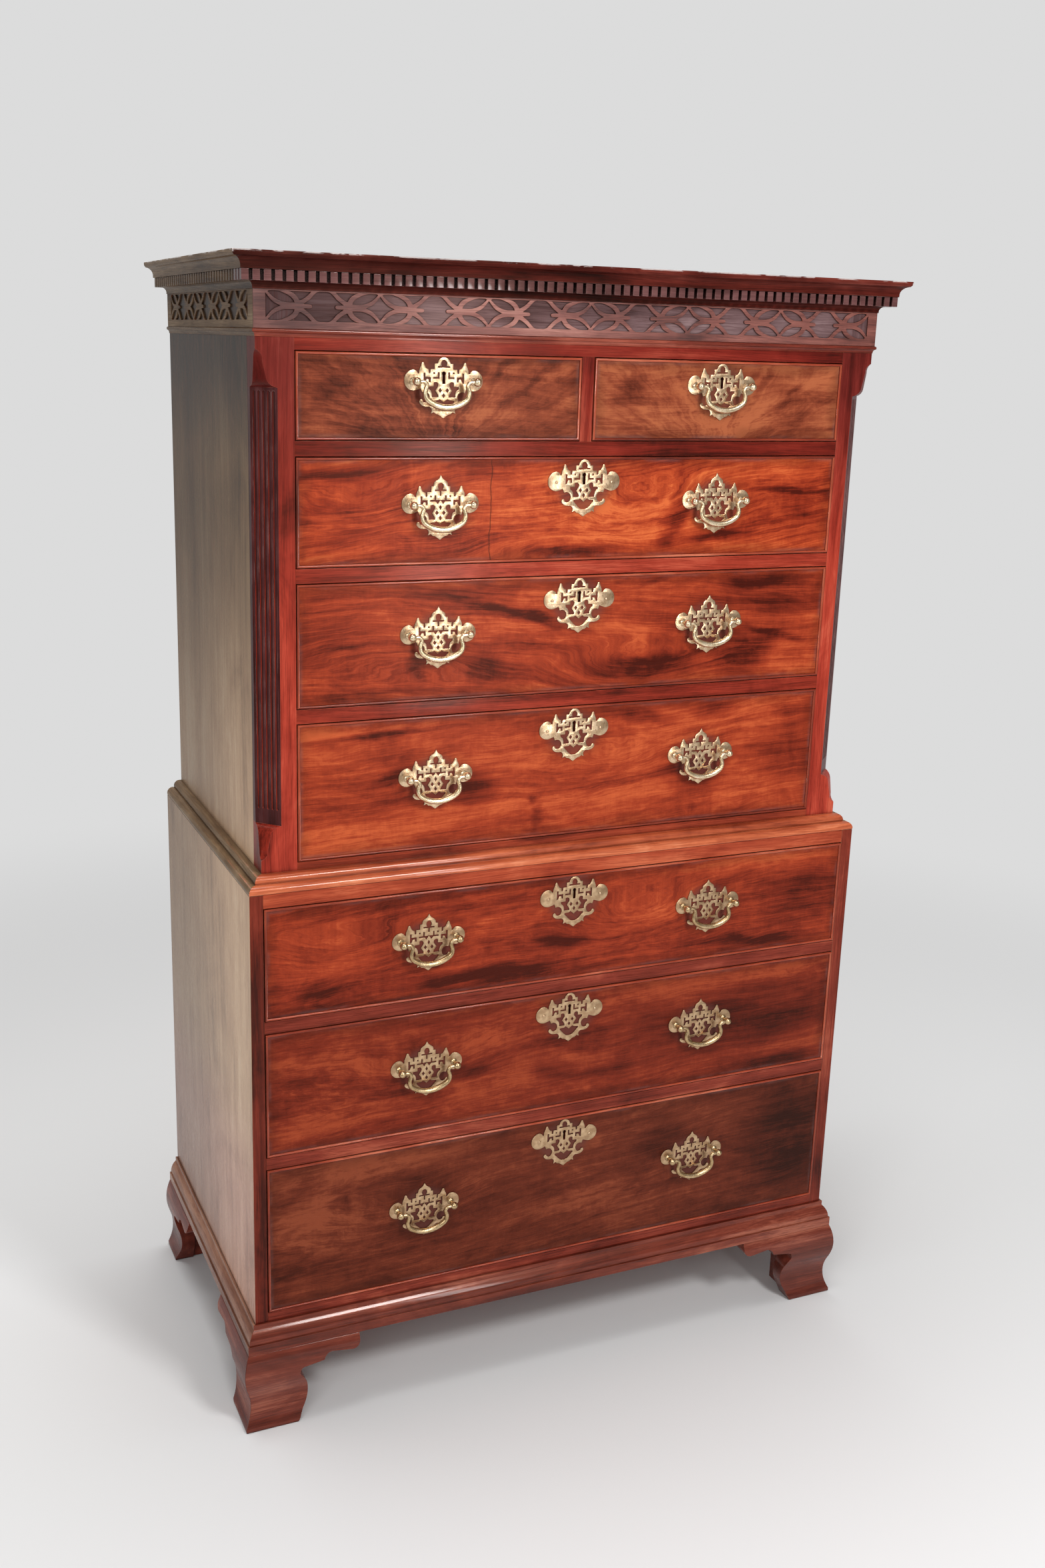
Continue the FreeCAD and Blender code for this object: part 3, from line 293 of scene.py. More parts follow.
def solids_of(node):
    """The closed solids of a CAD node, each as faces that number the node's points, doubled points joined."""
    mesh = NODES[node].data
    tree = KDTree(len(mesh.vertices))
    for number, vertex in enumerate(mesh.vertices):
        tree.insert(vertex.co, number)
    tree.balance()
    first = [min(hit[1] for hit in tree.find_range(vertex.co, SAME_POINT)) for vertex in mesh.vertices]
    solids = []
    faces = []
    open_edges = set()
    for polygon in mesh.polygons:
        corners = [first[number] for number in polygon.vertices]
        faces.append(corners)
        for pair in zip(corners, corners[1:] + corners[:1]):
            if pair[::-1] in open_edges:
                open_edges.remove(pair[::-1])
            else:
                open_edges.add(pair)
        if not open_edges:
            solids.append(faces)
            faces = []
    if faces:
        raise ValueError(f"{node} has an open solid")
    return solids


def softened(node, width, solids):
    """A mesh of solids of a CAD node, with their outer arrises rounded over a width."""
    points = NODES[node].data.vertices
    flat = math.radians(FLAT_ANGLE)
    sharp = math.radians(SHARP_ANGLE)
    whole = bmesh.new()
    for faces in solids:
        work = bmesh.new()
        corners = {number: work.verts.new(points[number].co) for face in faces for number in face}
        for face in faces:
            if len(set(face)) == len(face):
                work.faces.new([corners[number] for number in face])
        bmesh.ops.dissolve_limit(work, angle_limit=flat, verts=work.verts, edges=work.edges)
        arrises = [edge for edge in work.edges if edge.is_convex and edge.calc_face_angle() > sharp]
        bmesh.ops.bevel(work, geom=arrises, offset=width, segments=2, profile=0.5, affect="EDGES")
        solid = mesh_of("solid", work)
        whole.from_mesh(solid)
        bpy.data.meshes.remove(solid)
    return smoothed(mesh_of(node + "_soft", whole), SHARP_ANGLE)


def stand_in(name, mesh, node):
    """A piece in place of a CAD node, on the node's own body."""
    piece = new_object(name, mesh)
    evener = piece.modifiers.new("even_normals", "WEIGHTED_NORMAL")
    evener.keep_sharp = True
    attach(piece, NODES[node]["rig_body"])
    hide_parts(node)


# Material nodes


def feed(node, inputs):
    """Gives a node's inputs their values, or links them to the outputs of other nodes."""
    for key, value in inputs.items():
        if isinstance(value, bpy.types.NodeSocket):
            value.id_data.links.new(value, node.inputs[key])
        else:
            node.inputs[key].default_value = value


def add(kind, inputs, tree=None, **settings):
    """A node of that kind, in the tree of the outputs that feed it where no other is given."""
    for value in inputs.values():
        if isinstance(value, bpy.types.NodeSocket):
            tree = value.id_data
    made = tree.nodes.new("ShaderNode" + kind)
    for key, value in settings.items():
        setattr(made, key, value)
    feed(made, inputs)
    return made


def maths(operation, *values):
    return add("Math", dict(enumerate(values)), operation=operation).outputs[0]


def times(one, two):
    return maths("MULTIPLY", one, two)


def minus(one, two):
    return maths("SUBTRACT", one, two)


def apart(one, two):
    return maths("ABSOLUTE", minus(one, two))


def vectors(operation, *values):
    return add("VectorMath", dict(enumerate(values)), operation=operation).outputs[0]


def length(vector):
    return add("VectorMath", {0: vector}, operation="LENGTH").outputs["Value"]


def split(vector):
    """The three parts of a vector."""
    return add("SeparateXYZ", {0: vector}).outputs


def joined(parts):
    """A vector from its numbered parts. Those left out are 0."""
    return add("CombineXYZ", parts).outputs[0]


def ramped(value, low, high, start=0.0, end=1.0):
    """The value eased from start to end as it goes from low to high."""
    inputs = {"Value": value, "From Min": low, "From Max": high, "To Min": start, "To Max": end}
    return add("MapRange", inputs, interpolation_type="SMOOTHSTEP").outputs[0]


def mixed(factor, one, two):
    return add("Mix", {0: factor, 6: one, 7: two}, data_type="RGBA").outputs[2]


def weighed(start, *terms):
    """start, plus each value's distance from one half times its weight."""
    total = start
    for value, weight in terms:
        total = maths("ADD", maths("MULTIPLY_ADD", value, weight, -weight / 2), total)
    return total


def noise(vector, stretch, detail=3.0, roughness=0.55, distortion=0.0, output=0):
    """Noise over a vector stretched by three factors."""
    inputs = {"Vector": vectors("MULTIPLY", vector, stretch), "Scale": 1.0, "Detail": detail,
              "Roughness": roughness, "Distortion": distortion}
    return add("TexNoise", inputs).outputs[output]


def wavering(vector, stretch, reach, detail=2.0):
    """The vector pushed about by noise, by at most about half the reach."""
    push = vectors("SUBTRACT", noise(vector, stretch, detail, output="Color"), (0.5, 0.5, 0.5))
    return vectors("ADD", vector, vectors("MULTIPLY", push, reach))


def colour(red, green, blue):
    """A colour written in the eight-bit values of a picture, as light."""
    def light(value):
        share = value / 255
        return share / 12.92 if share <= 0.04045 else ((share + 0.055) / 1.055) ** 2.4
    return (light(red), light(green), light(blue), 1.0)


def palette(*tones):
    """Colours from dark to light, each as red, green and blue."""
    return tuple(colour(*tone) for tone in tones)


def new_material(name):
    """A material with its tree emptied down to one shader and its output."""
    material = bpy.data.materials.new(name)
    material.use_nodes = True
    tree = material.node_tree
    tree.nodes.clear()
    shader = add("BsdfPrincipled", {}, tree)
    add("OutputMaterial", {"Surface": shader.outputs[0]})
    return material, tree, shader


def own_place(tree):
    """Coordinates of the piece itself, which are the frame's where the piece stays where it was drawn."""
    return add("TexCoord", {}, tree).outputs["Object"]


def grain_along(tree, axis, shift):
    """The piece's own coordinates with the grain along the first one."""
    parts = split(own_place(tree))
    order = {"x": (0, 1, 2), "y": (1, 0, 2), "z": (2, 0, 1)}[axis]
    turned = joined({n: parts[order[n]] for n in range(3)})
    return vectors("ADD", turned, shift)


def edge_mask(tree, radius):
    """Near 1 within a radius of sharp edges, 0 on flat faces."""
    rounded = add("Bevel", {"Radius": radius}, tree, samples=6).outputs[0]
    flat = add("NewGeometry", {}, tree).outputs["True Normal"]
    same = add("VectorMath", {0: rounded, 1: flat}, operation="DOT_PRODUCT").outputs["Value"]
    return ramped(same, 0.985, 0.86)


def hollow_mask(tree, distance):
    """1 deep in corners, 0 in the open."""
    made = add("AmbientOcclusion", {"Distance": distance}, tree, samples=6)
    return ramped(made.outputs["AO"], 0.3, 0.92, 1.0, 0.0)


def toned(share, tones):
    """A colour from the first tone, at 0.2, to the last, at 0.8."""
    made = add("ValToRGB", {"Fac": share})
    ramp = made.color_ramp
    for number, tone in enumerate(tones):
        position = 0.2 + 0.6 * number / (len(tones) - 1)
        element = ramp.elements[number] if number < 2 else ramp.elements.new(position)
        element.position = position
        element.color = tone
    return made.outputs[0]


def surface(shader, look, shade, fibre):
    """That colour under a finish, whose sheen and open pores follow the fibres."""
    rough = ramped(fibre, 0.2, 0.8, look["roughness"] + 0.07, look["roughness"] - 0.04)
    bump = add("Bump", {"Strength": look["pores"], "Distance": PORE_DEPTH, "Height": fibre})
    feed(shader, {
        "Base Color": shade, "Roughness": rough, "Normal": bump.outputs[0],
        "Specular IOR Level": look["gloss"], "Specular Tint": look["tint"],
        "Coat Weight": look["coat"], "Coat Roughness": COAT_ROUGHNESS,
    })


# Finishes: old polish and wax, mouldings, a sombre cornice, faded sides, a dull fret and bare wood inside
PORE_DEPTH = 0.0003
COAT_ROUGHNESS = 0.1
WARM = (1.0, 0.52, 0.38, 1.0)
NEUTRAL = (1.0, 1.0, 1.0, 1.0)
POLISHED = dict(roughness=0.28, pores=0.25, gloss=0.2, tint=WARM, coat=0.0)
WAXED = dict(roughness=0.22, pores=0.1, gloss=0.25, tint=WARM, coat=0.05)
SHINY = dict(roughness=0.24, pores=0.1, gloss=0.3, tint=WARM, coat=0.8)
SATIN = dict(roughness=0.28, pores=0.1, gloss=0.3, tint=WARM, coat=0.4)
SOMBRE = dict(roughness=0.34, pores=0.2, gloss=0.1, tint=WARM, coat=0.0)
FADED = dict(roughness=0.28, pores=0.06, gloss=0.18, tint=NEUTRAL, coat=0.02)
DULL = dict(roughness=0.42, pores=0.4, gloss=0.35, tint=NEUTRAL, coat=0.0)
BARE = dict(roughness=0.6, pores=0.8, gloss=0.25, tint=NEUTRAL, coat=0.0)

# Where plain wood turns lighter from left to right, as painted light, and darker from front to back, as
# painted shade, and how far its grain wanders
LIT_RIGHT_SPAN = (-0.48, -0.16)
BACK_SHADE_SPAN = (-0.22, 0.18)
GRAIN_WANDER = (0.0, 0.05, 0.05)

# How far grime with painted shade reaches from a corner, how far wear and flaking reach from an arris, and
# from where below the top flaking starts
DIRT_AND_SHADE_REACH = 0.008
WEAR_REACH = 0.0012
FLAKE_REACH = 0.004
FLAKED_EDGE = (-0.005, -0.003)


def plain_wood(name, tones, axis, finish, shift=(0, 0, 0), wear=0.5, worn=colour(190, 100, 66), grime=0.6,
               higher=(), chips=None, painted_shade_behind=0.0):
    """Solid wood: grain along an axis, worn arrises, and grime with painted shade darkening its corners.

    higher lists two heights and the tones that take over between them, then lighter ones for the right, if
    any, which are painted light.
    chips is the level whose arrises are flaked pale, and the last option is the share of painted shade at the
    back.
    """
    material, tree, shader = new_material(name)
    place = grain_along(tree, axis, shift)
    lie = wavering(place, (1.1, 4.5, 4.5), GRAIN_WANDER)
    broad = noise(lie, (0.9, 11.0, 11.0), roughness=0.6)
    streak = noise(lie, (2.2, 75.0, 75.0), detail=4, roughness=0.6)
    cloud = noise(lie, (6.0, 9.0, 9.0), detail=4, roughness=0.62, distortion=0.8)
    fibre = noise(lie, (16.0, 620.0, 620.0), roughness=0.7)
    share = weighed(0.5, (broad, 1.0), (streak, 0.7), (cloud, 0.8), (fibre, 0.4))
    shade = toned(share, tones)
    across, back, height = split(own_place(tree))
    for low, high, *sets in higher:
        others = toned(share, sets[0])
        # Painted light: lighter tones towards the right
        if len(sets) > 1:
            others = mixed(ramped(across, *LIT_RIGHT_SPAN), others, toned(share, sets[1]))
        shade = mixed(ramped(height, low, high), shade, others)
    # Painted shade: darker towards the back
    if painted_shade_behind:
        shade = mixed(ramped(back, *BACK_SHADE_SPAN, 0.0, painted_shade_behind), shade, BACK_SHADE)
    shade = mixed(ramped(fibre, 0.3, 0.55, 0.35, 0.0), shade, tones[0])
    # Painted shade and grime: corners, grooves and recesses are darkened
    if grime:
        shade = mixed(times(hollow_mask(tree, DIRT_AND_SHADE_REACH), grime), shade, GRIME_AND_SHADE)
    if wear:
        patchy = ramped(noise(place, (25, 60, 60)), 0.42, 0.66, 0.1, 1.0)
        rubbed = times(edge_mask(tree, WEAR_REACH), patchy)
        shade = mixed(times(rubbed, wear), shade, worn)
    if chips:
        flake = ramped(noise(place, (34, 90, 90), detail=4), 0.48, 0.54)
        flake = times(flake, ramped(edge_mask(tree, FLAKE_REACH), 0.08, 0.3))
        flake = times(flake, ramped(minus(height, chips), *FLAKED_EDGE))
        shade = mixed(flake, shade, CHIP)
    surface(shader, finish, shade, fibre)
    return material


# How far painted shade reaches out of the corners of brass, and how deep its scratches look
BRASS_SHADE_REACH = 0.004
SCRATCH_DEPTH = 0.0002


def brass(name, tones, roughness):
    """Lacquered brass: warm, a little uneven, finely scratched, with painted shade in its corners."""
    material, tree, shader = new_material(name)
    place = own_place(tree)
    cloud = noise(place, (90, 90, 90), detail=4)
    shade = mixed(ramped(cloud, 0.35, 0.7), tones[1], tones[2])
    # Painted shade in the corners of the brass
    shade = mixed(times(hollow_mask(tree, BRASS_SHADE_REACH), 0.8), shade, tones[0])
    scratch = noise(place, (900, 900, 240), detail=2)
    rough = ramped(scratch, 0.3, 0.75, roughness - 0.05, roughness + 0.1)
    bump = add("Bump", {"Strength": 0.15, "Distance": SCRATCH_DEPTH, "Height": scratch})
    feed(shader, {"Base Color": shade, "Roughness": rough, "Metallic": 1.0, "Normal": bump.outputs[0]})
    return material


# Colours of grime with painted shade in corners, of painted shade at the back, and of damage
GRIME_AND_SHADE = colour(20, 8, 7)
BACK_SHADE = colour(54, 43, 35)
CHIP = colour(226, 216, 212)
PALE_WEAR = colour(190, 156, 146)

# Tones of the front, from dark to light; those for the top are darker, as painted shade
MAHOGANY = palette((54, 15, 11), (102, 34, 23), (130, 50, 36), (162, 78, 57))
MAHOGANY_UPPER = palette((66, 18, 12), (130, 41, 28), (162, 58, 41), (194, 90, 66))
MAHOGANY_SHADED_TOP = palette((50, 11, 9), (100, 25, 19), (126, 37, 28), (154, 62, 47))
POST = palette((82, 21, 14), (148, 46, 33), (178, 64, 47), (204, 95, 71))
POST_SHADED_TOP = palette((48, 12, 10), (90, 25, 22), (114, 38, 33), (142, 61, 53))
CANT = palette((38, 17, 18), (80, 42, 43), (104, 62, 62), (138, 94, 92))
FOOT = palette((56, 18, 12), (90, 34, 23), (116, 50, 36), (156, 88, 68))
BASE = palette((46, 13, 8), (90, 32, 20), (120, 50, 34), (162, 90, 68))
WAIST = palette((104, 36, 20), (168, 77, 46), (199, 104, 66), (228, 146, 106))
WAIST_RAIL = palette((86, 27, 17), (142, 53, 33), (172, 74, 47), (202, 104, 70))
BEAD = palette((76, 22, 13), (130, 46, 27), (164, 69, 43), (200, 112, 83))

# Tones of the frieze and cornice, with lighter ones for the right of the front, which are painted light
GROUND = palette((40, 28, 29), (63, 47, 48), (80, 62, 63), (102, 84, 85))
GROUND_LIT_RIGHT = palette((60, 44, 45), (96, 73, 74), (118, 94, 95), (144, 120, 120))
FRET = palette((44, 20, 18), (72, 37, 33), (92, 52, 46), (124, 78, 70))
FRET_LIT_RIGHT = palette((62, 29, 25), (112, 62, 54), (140, 85, 75), (174, 118, 105))
PURPLE = palette((24, 8, 7), (46, 16, 13), (66, 26, 21), (98, 48, 41))
PURPLE_LIT_RIGHT = palette((30, 9, 7), (66, 21, 16), (94, 35, 28), (126, 60, 50))
ASTRAGAL = palette((54, 16, 11), (100, 34, 24), (126, 50, 36), (164, 86, 68))
DENTIL = palette((48, 22, 21), (84, 48, 47), (110, 71, 70), (144, 104, 101))

# Tones of the sides: their wood with painted reflection of the pale floor, paler low down, and painted shade,
# darker higher up
SIDE = palette((164, 121, 102), (199, 151, 129), (217, 170, 146), (230, 190, 167))
SIDE_MIDDLE = palette((170, 135, 102), (205, 166, 129), (222, 184, 145), (235, 202, 165))
SIDE_SHADED_TOP = palette((80, 61, 39), (109, 84, 57), (127, 100, 70), (146, 119, 87))
SIDE_SHADED_CROWN = palette((30, 23, 16), (44, 35, 24), (54, 44, 32), (68, 57, 44))
SIDE_FRIEZE = palette((22, 18, 14), (34, 29, 23), (44, 38, 30), (58, 51, 41))
SIDE_RUN = palette((64, 45, 30), (104, 79, 54), (130, 103, 74), (162, 136, 105))
SIDE_BASE = palette((66, 35, 25), (114, 72, 55), (140, 93, 72), (172, 126, 102))

# Tones of the inside
OAK = palette((88, 60, 34), (126, 92, 54), (150, 114, 70), (172, 136, 90))
PINE = palette((92, 62, 36), (134, 96, 56), (158, 118, 72), (180, 140, 90))

# Tones of brass; the first of each is the painted shade in its corners
BRASS = palette((48, 33, 22), (197, 163, 127), (226, 198, 164))
# Darker brass for the lower chest, as painted shade
SHADED_BRASS = palette((46, 31, 21), (173, 140, 107), (206, 176, 140))
BAIL_BRASS = palette((50, 37, 24), (216, 190, 150), (243, 223, 191))
SHADED_BAIL = palette((44, 31, 19), (176, 148, 108), (210, 183, 143))
DULL_BRASS = palette((60, 46, 30), (150, 122, 82), (176, 148, 104))

# Heights between which tones take over
FRIEZE_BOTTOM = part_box("frieze_fret")[0].z
FRIEZE_LINE = (FRIEZE_BOTTOM, FRIEZE_BOTTOM + MM)
# Painted shade: heights over which the front darkens towards the top
TOP_SHADE_SPAN = (1.35, 1.7)
UPPER_CHEST = (0.92, 0.94)
EVERYWHERE = (0.0, MM)
FLUTES_START = (FLUTES[0], FLUTES[0] + MM)
FLUTES_END = (FLUTES[1] - MM, FLUTES[1])
# Painted reflection and shade on the sides: heights where they turn from paler low down to darker higher up
SIDE_PALING = (0.35, 0.6)
SIDE_SHADING = (0.98, 1.5)
SIDE_SHADE_UNDER_FRIEZE = (1.5, 1.7)
CORNICE_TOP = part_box("cornice")[1].z
# The frieze ground, with lighter tones to the right as painted light
FRIEZE_GROUND = (*FRIEZE_LINE, GROUND, GROUND_LIT_RIGHT)

# Where in the grain a wood along each axis starts
GRAIN_START = {"x": (0.3, 0.4, 0), "y": (1.7, 0.4, 0), "z": (2.9, 0.4, 0)}
SIDE_GRAIN_START = (0.2, 0.9, 0)


def woods_along(axes, name, tones, finish, **options):
    """That wood with its grain along each of some axes."""
    return {axis: plain_wood(f"{name}_along_{axis}", tones, axis, finish, GRAIN_START[axis], **options)
            for axis in axes}


def moulding_wood(name, tones, side_tones=SIDE_RUN, finish=SHINY, lit_right_tones=None, **options):
    """A moulding, with its grain across the front and back along the sides, paler there with painted
    reflection; right tones, where given, are painted light.
    """
    along = [(*EVERYWHERE, tones, lit_right_tones or tones)]
    return {
        "x": plain_wood(name + "_across", tones, "x", finish, GRAIN_START["x"], higher=along, **options),
        "y": plain_wood(name + "_back", side_tones, "y", FADED, GRAIN_START["y"], **options),
    }


mahogany = woods_along(
    "xz", "mahogany", MAHOGANY, WAXED,
    higher=[(*UPPER_CHEST, MAHOGANY_UPPER), (*TOP_SHADE_SPAN, MAHOGANY_SHADED_TOP), FRIEZE_GROUND],
)
waist_rail = plain_wood("waist_rail", WAIST_RAIL, "x", WAXED, GRAIN_START["x"])
post_face = plain_wood(
    "post_face", POST, "z", WAXED, GRAIN_START["z"], higher=[(*TOP_SHADE_SPAN, POST_SHADED_TOP), FRIEZE_GROUND],
)
cant_wood = plain_wood(
    "cant_wood", POST, "z", POLISHED, worn=PALE_WEAR,
    higher=[(*FLUTES_START, CANT), (*FLUTES_END, POST_SHADED_TOP), FRIEZE_GROUND],
)
foot_wood = moulding_wood("foot_wood", FOOT, FOOT, SATIN)
base_wood = moulding_wood("base_wood", BASE, SIDE_BASE, SATIN)
waist_wood = moulding_wood("waist_wood", WAIST, finish=SATIN)
cornice_wood = moulding_wood(
    "cornice_wood", PURPLE, finish=SOMBRE, lit_right_tones=PURPLE_LIT_RIGHT, worn=PALE_WEAR, wear=0.6, grime=0.9,
    chips=CORNICE_TOP,
)
astragal_wood = moulding_wood("astragal_wood", ASTRAGAL, finish=SATIN)
dentil_wood = moulding_wood("dentil_wood", DENTIL, worn=PALE_WEAR, grime=0.95)
fret_wood = {
    "x": plain_wood("fret_wood_across", FRET, "x", DULL, higher=[(*EVERYWHERE, FRET, FRET_LIT_RIGHT)]),
    "y": plain_wood("fret_wood_back", SIDE_RUN, "y", DULL),
}
# The sides, with painted reflection low down and painted shade high up and towards the back
side_wood = plain_wood(
    "side_wood", SIDE, "z", FADED, SIDE_GRAIN_START, wear=0.3, painted_shade_behind=0.5,
    higher=[(*SIDE_PALING, SIDE_MIDDLE), (*SIDE_SHADING, SIDE_SHADED_TOP), (*SIDE_SHADE_UNDER_FRIEZE, SIDE_SHADED_CROWN),
            (*FRIEZE_LINE, SIDE_FRIEZE)],
)
oak = woods_along("xy", "oak", OAK, BARE, worn=OAK[3])
pine = woods_along("xz", "pine", PINE, BARE, worn=PINE[3])
plate_brass = brass("plate_brass", BRASS, roughness=0.3)
aged_brass = brass("aged_brass", SHADED_BRASS, roughness=0.34)
bail_brass = brass("bail_brass", BAIL_BRASS, roughness=0.27)
shaded_bail_brass = brass("shaded_bail_brass", SHADED_BAIL, roughness=0.27)
lock_brass = brass("lock_brass", DULL_BRASS, roughness=0.4)

# Veneer of the drawer fronts: ovals and points are in millimetres across and up, edges and widths in metres

ANY_DEPTH = 1000.0
PLATE_MIDDLE = -6
# Ovals of dirt and painted shade round and under the brass plates
HALO = (88, 68)
UNDER_PLATE = (60, 50)
RIM_WIDTH = 0.022
RIM_RAGGED = 0.04
FILM_EDGE = (0.007, 0.0005)
CRACK_EDGE = (0.0013, 0.0003)
CRACK_WAVE = 0.012
FILM = colour(104, 84, 84)
UNDER_PLATE_DIRT_AND_SHADE = colour(98, 60, 55)
STAIN_AND_SHADE = colour(44, 15, 9)


def oval(place, x, z, long, high, tilt=0):
    """1 in the middle of an oval in the front's plane and 0 at its rim, tilted up to the right by degrees."""
    inputs = {"Vector": place, "Location": (x * MM, 0, z * MM), "Rotation": (0, -math.radians(tilt), 0),
              "Scale": (long * MM, ANY_DEPTH, high * MM)}
    unit = add("Mapping", inputs, vector_type="TEXTURE").outputs[0]
    return ramped(length(unit), 1.0, 0.1)


def fan(place, x, z):
    """Plumes that spread from a point in the front's plane."""
    spread = vectors("SUBTRACT", place, (x * MM, 0, z * MM))
    parts = split(spread)
    turn = maths("ARCTAN2", parts[0], parts[2])
    polar = joined({0: turn, 1: length(spread)})
    return noise(polar, (9.0, 9.0, 0.0), detail=5, roughness=0.62, distortion=0.5)


def veneer_lie(look, here, loose):
    """Where the grain runs: along x, wavering, pushed up by swirls and sloping."""
    lie = wavering(here, (1.6, 1, 6.0), (0, 0, look["wander"]))
    lie = wavering(lie, (9, 1, 26), (0, 0, 0.014), detail=3)
    for x, z, long, tall, tilt, push in look.get("swirls", ()):
        lift = times(oval(loose, x, z, long, tall, tilt), push * MM)
        lie = vectors("ADD", lie, joined({2: lift}))
    rise = times(split(here)[0], -look["slope"])
    lie = vectors("ADD", lie, joined({2: rise}))
    return vectors("ADD", lie, look["shift"])


def veneer_figure(look, lie, loose):
    """How light the figure is, from its streaks, plumes and clouds, and the fibres in it."""
    broad = noise(lie, (1.2, 1, 13.0), roughness=0.6)
    streak = noise(lie, (2.6, 1, 85.0), detail=4, roughness=0.65)
    cloud = noise(lie, (6.5, 1, 13.0), detail=5, roughness=0.65, distortion=0.7)
    mottle = noise(lie, (26.0, 1, 66.0), detail=5, roughness=0.66, distortion=1.0)
    line = noise(lie, (4.0, 1, 230.0), roughness=0.65)
    fibre = noise(lie, (22.0, 40, 640.0), roughness=0.7)
    curl = noise(lie, (150.0, 1, 30.0), detail=3, distortion=1.2)
    share = weighed(
        look["tone"], (broad, look["band"]), (streak, look["streak"]), (cloud, look["cloud"]),
        (line, look["streak"] * 0.5), (mottle, 0.42), (fibre, 0.45), (curl, 0.12),
    )
    for x, z in look.get("fans", ()):
        share = weighed(share, (fan(loose, x, z), look["plume"]))
    torn = ramped(mottle, 0.3, 0.7, 0.6, 1.4)
    for x, z, long, tall, tilt, depth in look["clouds"]:
        shadow = times(oval(loose, x, z, long, tall, tilt), torn)
        share = maths("MULTIPLY_ADD", shadow, -depth, share)
    return share, fibre


def rim_inset(drawer, parts):
    """How far in from the beads a point of a drawer front lies."""
    low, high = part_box(drawer + "_front")
    middle = (low + high) / 2
    half = (high - low) / 2
    across = minus(half.x - BEAD_WIDTH, apart(parts[0], middle.x))
    up = minus(half.z - BEAD_WIDTH, apart(parts[2], middle.z))
    return maths("MINIMUM", across, up)


def veneer(drawer, look):
    """Figured veneer with dirt and painted shade round and under the brasses, a dark rim, a film at the beads
    and sometimes a crack.
    """
    material, tree, shader = new_material(drawer + "_veneer")
    here = own_place(tree)
    parts = split(here)
    loose = wavering(here, (16, 1, 40), (0.05, 0, 0.022), detail=4)
    share, fibre = veneer_figure(look, veneer_lie(look, here, loose), loose)
    shade = toned(share, look["tones"])
    # Dirt and painted shade round each plate, darker still under it
    for x, z in handle_places(drawer):
        halo = ramped(oval(loose, x, z, *HALO), 0.0, 1.0, 0.0, 0.5)
        shade = mixed(halo, shade, STAIN_AND_SHADE)
        under = ramped(oval(here, x, z, *UNDER_PLATE), 0.0, 0.4, 0.0, 0.5)
        shade = mixed(under, shade, UNDER_PLATE_DIRT_AND_SHADE)
    inset = rim_inset(drawer, parts)
    uneven = noise(here, (14, 1, 30), detail=4)
    border = maths("ADD", inset, maths("MULTIPLY_ADD", uneven, RIM_RAGGED, -RIM_RAGGED / 2))
    shade = mixed(ramped(border, RIM_WIDTH, 0.0, 0.0, 0.34), shade, STAIN_AND_SHADE)
    filmy = ramped(uneven, 0.4, 0.65, 0.0, 0.3)
    shade = mixed(times(ramped(inset, *FILM_EDGE), filmy), shade, FILM)
    if "crack" in look:
        wave = maths("MULTIPLY_ADD", noise(here, (0, 0, 22)), CRACK_WAVE, -CRACK_WAVE / 2)
        aside = apart(maths("ADD", parts[0], wave), look["crack"])
        shade = mixed(ramped(aside, *CRACK_EDGE, 0.0, 0.75), shade, STAIN_AND_SHADE)
    surface(shader, POLISHED, shade, fibre)
    return material


def handle_places(drawer):
    """The middles of a drawer's handle plates and of its escutcheon."""
    bails = [name for name in HINGES if name.startswith(drawer)]
    places = [(HINGES[name].x / MM, HINGES[name].z / MM + PLATE_MIDDLE) for name in bails]
    if len(bails) > 1:
        low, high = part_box(drawer + "_front")
        places.append(((low.x + high.x) / 2 / MM, (high.z - LOCK_DROP) / MM + PLATE_MIDDLE))
    return places


# Veneer tones; BROWN and DUSKY, for the lowest drawers, are partly the veneer's own colour and partly painted
# shade
FIERY = palette((72, 19, 11), (134, 43, 24), (178, 70, 37), (212, 104, 57))
RUDDY = palette((66, 18, 11), (121, 40, 24), (160, 60, 34), (196, 90, 51))
TAWNY = palette((48, 17, 11), (100, 43, 28), (137, 66, 43), (169, 93, 60))
BROWN = palette((48, 12, 7), (90, 27, 16), (122, 42, 25), (156, 66, 38))
DUSKY = palette((40, 13, 8), (77, 29, 18), (104, 44, 28), (134, 65, 42))

